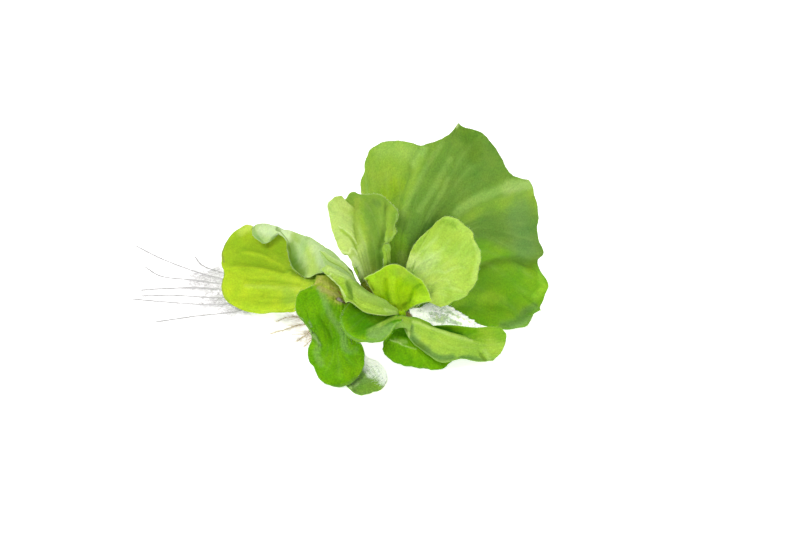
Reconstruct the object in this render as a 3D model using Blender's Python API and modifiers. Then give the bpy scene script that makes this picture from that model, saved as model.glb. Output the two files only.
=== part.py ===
"""Water lettuce: a floating rosette lifted out of the water and laid down, its roots trailing to the left.

Lengths in the tables are millimetres in the plant's own frame: x to the right, y away, z up from the
surface it lies on, with the heart of the rosette above x = 0, y = 0. One empty carries every piece.
"""

import math

import bmesh
import bpy
from mathutils import Vector

MM = 0.001
NAME = "water_lettuce"

# Where the heart of the rosette stands, seen from the middle of the whole plant's footprint.
HEART = (33.5, -29.0, 0.0)

# Blades are spongy at the foot and thin at the rim.
FOOT_THICKNESS = 1.4
RIM_THICKNESS = 0.8

ROOT_RADIUS = 0.5
ROOT_LIFT = 0.1
ROOT_STEPS = 11

# The stem, from the crown between the leaves to the root end: centre line and radius.
STEM = (
    ((2.8, -1.1, 24.3), 1.1),
    ((2.6, -0.9, 23.4), 1.9),
    ((2.2, -0.6, 22.0), 2.4),
    ((1.2, -0.3, 19.6), 3.1),
    ((-3.0, 1.0, 18.4), 4.2),
    ((-10.0, 3.6, 20.4), 5.2),
    ((-20.0, 7.6, 24.0), 5.7),
    ((-29.0, 11.4, 27.6), 5.5),
    ((-35.0, 13.4, 28.6), 4.6),
    ((-38.2, 14.4, 28.4), 2.6),
)

# A leaf is a set of rows from its foot to its rim. Each row runs across the blade, from left to right
# for someone who looks at the upper face with the foot nearest to them.
LEAVES = {
    "leaf_back": {
        "colour": (0.13, 0.30, 0.03),
        "steps": (9, 24),
        "rows": (
            ((-5.4, 7.4, 21.6), (-1.6, 6.2, 19.4), (3, 3.6, 18.6)),
            (
                (-13.5, 20, 46),
                (-0.5, 18, 62),
                (9.5, 20, 66.5),
                (22, 24, 59),
                (33, 28, 43.5),
                (35, 29, 24.5),
                (27.5, 14, 12),
            ),
            (
                (-20, 42, 64),
                (-18, 44, 80.5),
                (-11.5, 43, 90.5),
                (-3.5, 40, 94),
                (3, 36, 95.5),
                (8.5, 33, 95.5),
                (13.5, 34, 97),
                (21, 37, 99),
                (25, 39, 102),
                (27, 40, 103),
                (28.5, 40, 101),
                (36.5, 41, 97.5),
                (44, 42, 88),
                (47.5, 43, 79.5),
                (52, 44, 72.5),
                (59.5, 48, 67.5),
                (63, 49, 60),
                (65, 49, 53),
                (66.5, 48, 35),
                (68, 47, 28.5),
                (67.5, 46, 20),
                (71, 40, 11.5),
                (68.5, 33, 4.5),
                (62.5, 26, 1.5),
                (53, 20, 1),
            ),
        ),
    },
    "leaf_upper_left": {
        "colour": (0.38, 0.58, 0.12),
        "steps": (8, 22),
        "rows": (
            ((-16, 6, 29.4), (-11.2, 7.4, 27.3), (-5.8, 5.8, 24.6)),
            (
                (-18, 5, 42.5),
                (-23, 8, 60),
                (-19, 11, 64.5),
                (-11.5, 11, 65.5),
                (-7.5, 7, 63.5),
                (-9, 4.5, 50),
            ),
            (
                (-21.5, 5, 46),
                (-22, 5, 51),
                (-25.5, 5.5, 53),
                (-29, 7, 55.5),
                (-31, 8, 61),
                (-33, 9, 67),
                (-34, 10, 73),
                (-34.5, 11, 76.5),
                (-33, 12, 79),
                (-31, 13.5, 80),
                (-29, 15, 79),
                (-26.5, 17, 76.5),
                (-24, 19, 79),
                (-19.5, 20, 77),
                (-14, 20, 77.5),
                (-10.5, 19, 77.5),
                (-7, 17, 76),
                (-3.5, 15, 73),
                (-2, 13, 70),
                (-3, 11, 67),
                (-4.5, 9.5, 61),
                (-6.5, 8, 56.5),
                (-6.5, 6, 52.5),
            ),
        ),
    },
    "leaf_right_inner": {
        "colour": (0.40, 0.66, 0.13),
        "steps": (8, 14),
        "rows": (
            ((1.8, 3.4, 24.5), (3.6, 3.1, 24.5), (5, 2.2, 24.1)),
            ((1, 5, 42.5), (7, 8, 47.5), (16.5, 9, 49), (20.5, 7, 42.5), (17.5, 4, 36), (10, 1, 30)),
            (
                (3.5, 9, 52.5),
                (7, 11, 58),
                (13.5, 13, 63),
                (17, 15, 66.5),
                (21, 16, 67.5),
                (25.5, 16, 66),
                (29, 15, 63),
                (32, 14, 60.5),
                (33, 13, 56.5),
                (36, 11, 51),
                (35.5, 9, 42.5),
                (33.5, 6, 36),
                (29, 4, 31),
                (22, 2.5, 27.5),
                (17.5, 1.5, 26.5),
            ),
        ),
    },
    "leaf_centre": {
        "colour": (0.38, 0.66, 0.01),
        "steps": (7, 10),
        "rows": (
            ((-2.4, 0.6, 23.4), (-0.2, 1.4, 23.5), (1.5, 0.5, 24.6)),
            ((-10.5, 0.8, 29.5), (-5.5, 1, 39.5), (-1.5, 1.5, 39.5), (3, 0.5, 37.5), (6.5, -3, 31)),
            (
                (-18, -1, 44.5),
                (-13, 0, 47),
                (-8.5, 2, 49),
                (-5.5, 3, 50),
                (-2.5, 3, 50),
                (0.5, 3, 48),
                (3, 2, 46),
                (6, 1, 44.5),
                (9, 0, 42.5),
                (11.5, -1.5, 38.5),
                (13.5, -3, 33),
            ),
        ),
    },
    "leaf_left": {
        "colour": (0.52, 0.74, 0.04),
        "steps": (13, 26),
        "rows": (
            ((-40.4, 8.6, 27), (-42.2, 13, 29.9), (-41, 16.7, 31.1), (-35, 19, 32), (-21.9, 15.6, 29.9)),
            (
                (-44, 8, 25),
                (-55.5, 21, 18),
                (-62, 32, 18),
                (-58.5, 39.5, 22),
                (-52.5, 44, 26),
                (-45, 41.5, 30),
                (-35, 33, 33),
                (-23.5, 19, 33.5),
            ),
            (
                (-44, 8.5, 24.5),
                (-55.5, 15.5, 15),
                (-70.5, 25, 9),
                (-78.5, 34, 8.5),
                (-81, 41.5, 13),
                (-81.5, 48, 16),
                (-79, 57.5, 20.5),
                (-72, 62, 27),
                (-67.5, 59, 33.5),
                (-62, 53.5, 35.5),
                (-56.5, 47.5, 37.5),
                (-48, 40, 39.5),
                (-37, 28.5, 39),
                (-25.5, 20.5, 36.5),
            ),
            (
                (-44, 8.5, 24.5),
                (-58, 19, 11),
                (-74.5, 27.5, 5.5),
                (-84.5, 35, 6.5),
                (-86.5, 43.5, 12),
                (-87, 51.5, 15.5),
                (-85.5, 63.5, 20),
                (-76, 65, 28),
                (-72.5, 57, 31.5),
                (-66.5, 54, 30),
                (-58.5, 47.5, 37),
                (-51, 36, 30.5),
                (-42.5, 23, 33.5),
                (-34, 20, 36.5),
            ),
            (
                (-44.5, 8, 24),
                (-51, 14, 15),
                (-59, 20, 9),
                (-68.5, 25.5, 5),
                (-76.5, 28.5, 4),
                (-82.5, 32, 4),
                (-87, 36, 5.5),
                (-89, 40.5, 8),
                (-89, 44, 11.5),
                (-88, 46.5, 14),
                (-90, 53, 15),
                (-90, 60.5, 17),
                (-88, 67, 20),
                (-83.5, 70, 24),
                (-77.5, 68.5, 28),
                (-73, 61, 31),
                (-73.5, 56.5, 30),
                (-70.5, 53, 28.5),
                (-67, 52, 28),
                (-63.5, 53, 30),
                (-60, 49, 36),
                (-56.5, 47, 33),
                (-56, 39.5, 28.5),
                (-52, 28, 28.5),
                (-44.5, 16, 31.5),
                (-41, 17, 33),
                (-38, 17.5, 33.5),
            ),
        ),
    },
    "leaf_left_inner": {
        "colour": (0.32, 0.58, 0.14),
        "steps": (10, 10),
        "rows": (
            ((-2, -4.2, 26.3), (-2, -3, 27.2), (-2.6, -0.8, 27.3)),
            ((-9, -12, 31.5), (-10.5, -10, 35), (-12, -1.5, 34.5)),
            ((-18, -13.5, 35), (-20, -9.5, 39), (-19.5, 1.5, 39)),
            ((-24, -8, 36.5), (-26, 0, 38.5), (-26.5, 8.5, 40.5)),
            (
                (-26.5, -8, 36),
                (-29, -1, 38.5),
                (-31.5, 4, 40),
                (-36.5, 9, 41),
                (-38, 11, 41.5),
                (-35, 13.5, 42.5),
            ),
        ),
    },
    "leaf_front_left": {
        "colour": (0.12, 0.40, 0.01),
        "steps": (11, 18),
        "rows": (
            ((-28, 5, 32.6), (-31.5, 9.5, 34.5), (-35.5, 14, 35.2), (-38.7, 16.6, 34.8)),
            ((-26, 1, 29.5), (-30.5, 0, 31.5), (-35.5, 2, 33.5), (-42, 10, 33)),
            (
                (-25, -3.5, 23.5),
                (-29, -4.5, 22),
                (-34, -2.5, 20.5),
                (-40, -3, 24.5),
                (-45.5, 0, 27.5),
                (-47.5, 6, 29.5),
            ),
            (
                (-24, -11, 14),
                (-28, -13, 12),
                (-32.5, -14, 10),
                (-37, -13.5, 13),
                (-40.5, -11.5, 18),
                (-44.5, -5.5, 23),
            ),
            (
                (-24, -7, 17.5),
                (-21.5, -9, 15),
                (-18.5, -10, 11.5),
                (-18, -13.5, 8),
                (-19, -20, 5.5),
                (-23.5, -26.5, 3.5),
                (-29, -27, 1.5),
                (-34.5, -25, 1),
                (-39, -21.5, 1.5),
                (-41.5, -17.5, 5),
                (-44, -15.5, 8),
                (-44.5, -13, 12),
                (-42.5, -11, 17),
                (-43.5, -9, 21.5),
                (-46, -6.5, 24),
                (-49, -4, 26.5),
                (-50, 0.5, 29.5),
                (-48.5, 5.5, 32),
                (-43, 9, 33),
            ),
        ),
    },
    "leaf_front": {
        "colour": (0.10, 0.36, 0.01),
        "steps": (9, 12),
        "rows": (
            ((-0.6, -2.8, 23.9), (-2.4, -2.4, 23.9), (-4.1, -0.4, 24.6)),
            ((-1, -7.5, 26.5), (-6, -5, 26.5), (-11.5, -2.5, 27.5), (-19, 0.5, 29)),
            (
                (-0.5, -10.5, 28),
                (-7, -15, 27.5),
                (-13, -18.5, 25.5),
                (-20, -18.5, 24.5),
                (-25, -13.5, 25.5),
                (-26.5, -7.5, 29),
                (-24, -1.5, 31),
            ),
            (
                (-0.5, -11, 27),
                (-3.5, -12, 25.5),
                (-5, -13, 22.5),
                (-7, -13.5, 20),
                (-9.5, -15, 19),
                (-14, -16, 18.5),
                (-18, -16.5, 19),
                (-22, -16.5, 20),
                (-26.5, -14.5, 22.5),
                (-29, -11, 26.5),
                (-28.5, -8, 29.5),
                (-25.5, -3, 31.5),
            ),
        ),
    },
    "leaf_front_right": {
        "colour": (0.30, 0.56, 0.06),
        "steps": (12, 8),
        "rows": (
            ((0, -4, 22.9), (-0.3, -5.2, 23), (-0.3, -6.6, 22.6), (0, -7.8, 21.6)),
            ((5, -3, 24), (5.5, -5, 24), (4.5, -7, 25.5), (4, -10, 21.5), (3.5, -13, 18)),
            ((13.5, 1, 17), (13.5, -2, 16.5), (12.5, -7, 21.5), (12.5, -11, 16.5), (10.5, -14, 11.5)),
            ((24, 3, 14.5), (23, -1, 12.5), (22, -7, 17.5), (21, -11.5, 12), (18, -15, 6.5)),
            ((34.5, 3, 13), (33.5, -1, 12.5), (32.5, -6, 12.5), (30.5, -10, 10), (27.5, -13, 7)),
            ((41, 2, 14.5), (41, -1, 12), (39, -5, 10), (37, -9, 8), (35, -12, 4.5)),
            ((46, 1.5, 14.5), (48.5, -1, 13), (48.5, -4.5, 10.5), (46, -9, 7.5), (42, -12, 5)),
        ),
    },
    "leaf_under_right": {
        "colour": (0.14, 0.44, 0.01),
        "steps": (8, 14),
        "rows": (
            ((3.6, -4.5, 20.2), (0, -4.9, 20.4), (-3.9, -4.3, 20.8)),
            ((4.5, -7, 16.5), (0, -7, 17.5), (-5, -6.5, 18.5)),
            ((7.5, -9.5, 11.5), (2.5, -10, 13.5), (-2.5, -9.5, 15), (-7.5, -7.5, 16.5)),
            (
                (23, -8, 1.2),
                (17.5, -13.5, 1),
                (10.5, -13, 1),
                (3.5, -12, 1.5),
                (-3, -11.5, 3),
                (-7.5, -10.5, 6),
                (-9.5, -9, 9.5),
                (-9, -6.5, 13),
            ),
        ),
    },
    "leaf_under_front": {
        "colour": (0.20, 0.42, 0.08),
        "steps": (9, 9),
        "rows": (
            ((-17, 1.5, 18.5), (-20, 1.8, 18.8), (-24, 3, 20)),
            ((-20.5, -4, 11), (-23, -4.5, 11), (-26.5, -3, 12)),
            ((-17.5, -9, 5), (-20.5, -13.5, 3.2), (-25, -12.5, 3.8)),
            (
                (-13.5, -11.5, 5),
                (-10, -14, 4),
                (-7.5, -19.5, 2.5),
                (-7.5, -23.5, 1.5),
                (-9.5, -27.5, 1),
                (-13, -30, 1),
                (-17, -32, 1),
                (-22, -31.5, 1),
                (-26, -26.5, 1),
                (-29, -20.5, 1.2),
            ),
        ),
    },
    "leaf_pale": {
        "colour": (0.60, 0.66, 0.50),
        "steps": (7, 10),
        "rows": (
            ((4, 1.8, 22.3), (4.9, 0.6, 21.2), (5.2, -1, 19.6)),
            ((12.5, 7, 24.5), (13.5, 5.5, 21.5), (14, 3.5, 18.5)),
            ((21, 9, 22), (26, 9, 18.5), (32, 9, 14), (37, 8, 10), (32, 6.5, 9), (24.5, 5, 11.5)),
        ),
    },
}

# Each root: where it leaves the stem, then the places it passes on the surface, the last one its tip.
LONG_ROOTS = (
    ((-38.8, 17.2, 27.6), (-62, 49, 0), (-99, 64, 0), (-121.5, 77, 0), (-138, 90, 0)),
    ((-39.6, 16.2, 27), (-63.5, 47.5, 0), (-100, 58.5, 0), (-121, 62.5, 0), (-131, 71, 0)),
    ((-40.2, 15.2, 26.4), (-65, 46, 0), (-99, 52.5, 0), (-116.5, 52.5, 0), (-131, 51, 0)),
    ((-40.4, 14, 25.8), (-66.5, 44.5, 0), (-93, 44.5, 0), (-113.5, 46.5, 0), (-130, 46, 0)),
    ((-40.2, 12.8, 25.2), (-67.5, 42.5, 0), (-92, 38.5, 0), (-117.5, 41, 0), (-134.5, 43.5, 0)),
    ((-39.5, 11.6, 24.6), (-68, 40, 0), (-82, 33, 0), (-102, 29, 0), (-120.5, 24.5, 0)),
    ((-37.6, 18.2, 28.2), (-60.5, 51, 0), (-92, 66.5, 0), (-102, 72.5, 0), (-107, 81, 0)),
)
SHORT_ROOTS = (
    ((-37.2, 10, 24.6), (-47.5, 27, 0), (-56, 28.5, 0), (-62, 24.5, 0)),
    ((-36, 9, 23.4), (-49, 22, 0), (-58, 18, 0), (-64.5, 15, 0)),
    ((-34.6, 8.2, 22.6), (-44, 17, 0), (-48, 12.5, 0), (-51, 9, 0)),
    ((-33, 7.4, 22), (-41, 14.5, 0), (-44.5, 9.5, 0), (-47.5, 5, 0)),
)


def clear_scene():
    for thing in list(bpy.data.objects):
        bpy.data.objects.remove(thing, do_unlink=True)


def principled(name, colour, roughness):
    """A plain Principled material in the piece's own colour."""
    material = bpy.data.materials.new(name)
    material.use_nodes = True
    shader = material.node_tree.nodes["Principled BSDF"]
    shader.inputs["Base Color"].default_value = (*colour, 1.0)
    shader.inputs["Roughness"].default_value = roughness
    shader.inputs["Metallic"].default_value = 0.0
    return material


def along(points, share):
    """The place at a share of the way along a smooth curve through the points."""
    last = len(points) - 1
    spot = min(max(share, 0.0), 1.0) * last
    index = min(int(spot), last - 1)
    t = spot - index
    start = Vector(points[index])
    end = Vector(points[index + 1])
    before = Vector(points[index - 1]) if index > 0 else 2 * start - end
    after = Vector(points[index + 2]) if index + 2 <= last else 2 * end - start
    lean_in = (end - before) / 2
    lean_out = (after - start) / 2
    return (
        start * (2 * t**3 - 3 * t**2 + 1)
        + lean_in * (t**3 - 2 * t**2 + t)
        + end * (3 * t**2 - 2 * t**3)
        + lean_out * (t**3 - t**2)
    )


def on_leaf(rows, up, across):
    """The place on the upper face, a share of the way up from the foot and across the blade."""
    return along([along(row, across) for row in rows], up)


def add_piece(name, data, material, parent, collection):
    piece = bpy.data.objects.new(name, data)
    piece.data.materials.append(material)
    piece.parent = parent
    collection.objects.link(piece)
    return piece


def make_leaf(name, leaf, parent, collection):
    """A grid laid on the leaf's rows, thickened downwards, thinner towards the rim."""
    steps_up, steps_across = leaf["steps"]
    mesh = bpy.data.meshes.new(name)
    shape = bmesh.new()
    bmesh.ops.create_grid(shape, x_segments=steps_across, y_segments=steps_up, size=0.5)
    weights = []
    for vertex in shape.verts:
        across = vertex.co.x + 0.5
        up = vertex.co.y + 0.5
        vertex.co = on_leaf(leaf["rows"], up, across) * MM
        weights.append(1.0 + (RIM_THICKNESS / FOOT_THICKNESS - 1.0) * up)
    shape.to_mesh(mesh)
    shape.free()
    mesh.shade_smooth()

    blade = add_piece(name, mesh, principled(name, leaf["colour"], 0.5), parent, collection)
    group = blade.vertex_groups.new(name="thickness")
    for index, weight in enumerate(weights):
        group.add([index], weight, "REPLACE")
    thicken = blade.modifiers.new("Thickness", "SOLIDIFY")
    thicken.thickness = FOOT_THICKNESS * MM
    thicken.offset = -1.0
    thicken.vertex_group = group.name
    return blade


def make_tube(name, points, radii, sides, material, parent, collection):
    """A tube with filled ends along the points."""
    curve = bpy.data.curves.new(name, "CURVE")
    curve.dimensions = "3D"
    curve.bevel_depth = MM
    curve.bevel_resolution = sides
    curve.use_fill_caps = True
    spline = curve.splines.new("POLY")
    spline.points.add(len(points) - 1)
    for point, place, radius in zip(spline.points, points, radii):
        point.co = (*(Vector(place) * MM), 1.0)
        point.radius = radius
    spline.use_smooth = True
    return add_piece(name, curve, material, parent, collection)


def root_path(start, *floor):
    """Leaves the stem, bows down to the surface and runs along it to the tip."""
    bow = Vector((*Vector(start).lerp(Vector(floor[0]), 0.45).xy, start[2] * 0.35))
    points = []
    for step in range(ROOT_STEPS + 1):
        place = along((start, bow, *floor), step / ROOT_STEPS)
        place.z = max(place.z, 0.0) + ROOT_RADIUS + ROOT_LIFT
        points.append(place)
    return points


def main():
    clear_scene()
    collection = bpy.data.collections.new(NAME)
    bpy.context.scene.collection.children.link(collection)
    heart = bpy.data.objects.new(NAME + "_heart", None)
    heart.location = Vector(HEART) * MM
    collection.objects.link(heart)

    stem_points = [place for place, _ in STEM]
    stem_radii = [radius for _, radius in STEM]
    stem_material = principled("stem", (0.30, 0.26, 0.08), 0.7)
    make_tube("stem", stem_points, stem_radii, 3, stem_material, heart, collection)

    for name, leaf in LEAVES.items():
        make_leaf(name, leaf, heart, collection)

    for kind, roots, colour in (
        ("root_long", LONG_ROOTS, (0.55, 0.53, 0.50)),
        ("root_short", SHORT_ROOTS, (0.48, 0.36, 0.22)),
    ):
        material = principled(kind, colour, 0.7)
        for number, root in enumerate(roots, 1):
            path = root_path(*root)
            radii = [ROOT_RADIUS] * len(path)
            make_tube(f"{kind}_{number:02d}", path, radii, 1, material, heart, collection)


main()
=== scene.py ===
"""Water lettuce: the visible plant, laid over the plain solids of its leaves, stem and roots.

Lengths in the tables are millimetres in the plant's own frame: x to the right, y away, z up from the
surface it lies on, with the heart of the rosette above x = 0, y = 0.
"""

import math

import bmesh
import bpy
import numpy as np
from bpy.props import FloatProperty, FloatVectorProperty, IntProperty, PointerProperty
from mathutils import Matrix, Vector, noise


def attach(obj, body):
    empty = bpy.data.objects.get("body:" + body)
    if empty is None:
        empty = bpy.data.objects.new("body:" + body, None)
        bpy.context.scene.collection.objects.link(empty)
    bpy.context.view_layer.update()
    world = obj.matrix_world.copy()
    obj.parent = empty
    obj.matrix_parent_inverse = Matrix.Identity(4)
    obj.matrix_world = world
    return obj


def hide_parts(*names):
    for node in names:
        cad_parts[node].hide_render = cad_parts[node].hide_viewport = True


bl_info = {
    "name": "Water Lettuce",
    "version": (1, 0, 0),
    "blender": (4, 5, 0),
    "location": "View3D > Sidebar > Plant",
    "description": "Dresses a water lettuce that lies on a surface with its roots trailing",
    "category": "Add Mesh",
}

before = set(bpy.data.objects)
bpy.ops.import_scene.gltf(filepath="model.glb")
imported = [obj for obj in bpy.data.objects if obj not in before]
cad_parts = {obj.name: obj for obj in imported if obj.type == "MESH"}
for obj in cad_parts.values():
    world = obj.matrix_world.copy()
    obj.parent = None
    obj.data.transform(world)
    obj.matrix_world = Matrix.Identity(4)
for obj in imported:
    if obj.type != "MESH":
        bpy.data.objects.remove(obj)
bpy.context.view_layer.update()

MM = 0.001

# Where the heart of the rosette stands in the frame, in millimetres.
HEART = np.array((33.5, -29.0, 0.0))

# The camera looks along +Y and down, at a spot in the plant's own frame.
CAMERA_SPOT = (-1.4, 0.0, 50.6)
CAMERA_DISTANCE = 818.0
CAMERA_ELEVATION = math.radians(35.0)
CAMERA_LENS = 80.0
SENSOR_WIDTH = 36.0
PHOTO_WIDTH = 800
PHOTO_HEIGHT = 533
TO_CAMERA = np.array((0.0, -math.cos(CAMERA_ELEVATION), math.sin(CAMERA_ELEVATION)))
UP_IN_PHOTO = np.array((0.0, math.sin(CAMERA_ELEVATION), math.cos(CAMERA_ELEVATION)))

# Each lamp: where it hangs from the camera's spot and how wide it is, both in metres, and its power in watts.
LAMPS = {
    "key": ((-0.55, -0.45, 1.0), 0.5, 8.0),
    "back": ((0.35, 0.75, 0.8), 0.4, 4.0),
    "fill": ((0.65, -0.85, 0.55), 0.7, 2.8),
}
FLOOR_HALF_WIDTH = 3.0
FLOOR_GLOW = 0.6
SKY_LIGHT = 0.55
WHITE = (1.0, 1.0, 1.0, 1.0)

# The stem, from the crown between the leaves to the root end: centre line and radius.
STEM = (
    ((2.8, -1.1, 24.3), 1.1),
    ((2.6, -0.9, 23.4), 1.9),
    ((2.2, -0.6, 22.0), 2.4),
    ((1.2, -0.3, 19.6), 3.1),
    ((-3.0, 1.0, 18.4), 4.2),
    ((-10.0, 3.6, 20.4), 5.2),
    ((-20.0, 7.6, 24.0), 5.7),
    ((-29.0, 11.4, 27.6), 5.5),
    ((-35.0, 13.4, 28.6), 4.6),
    ((-38.2, 14.4, 28.4), 2.6),
)

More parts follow.
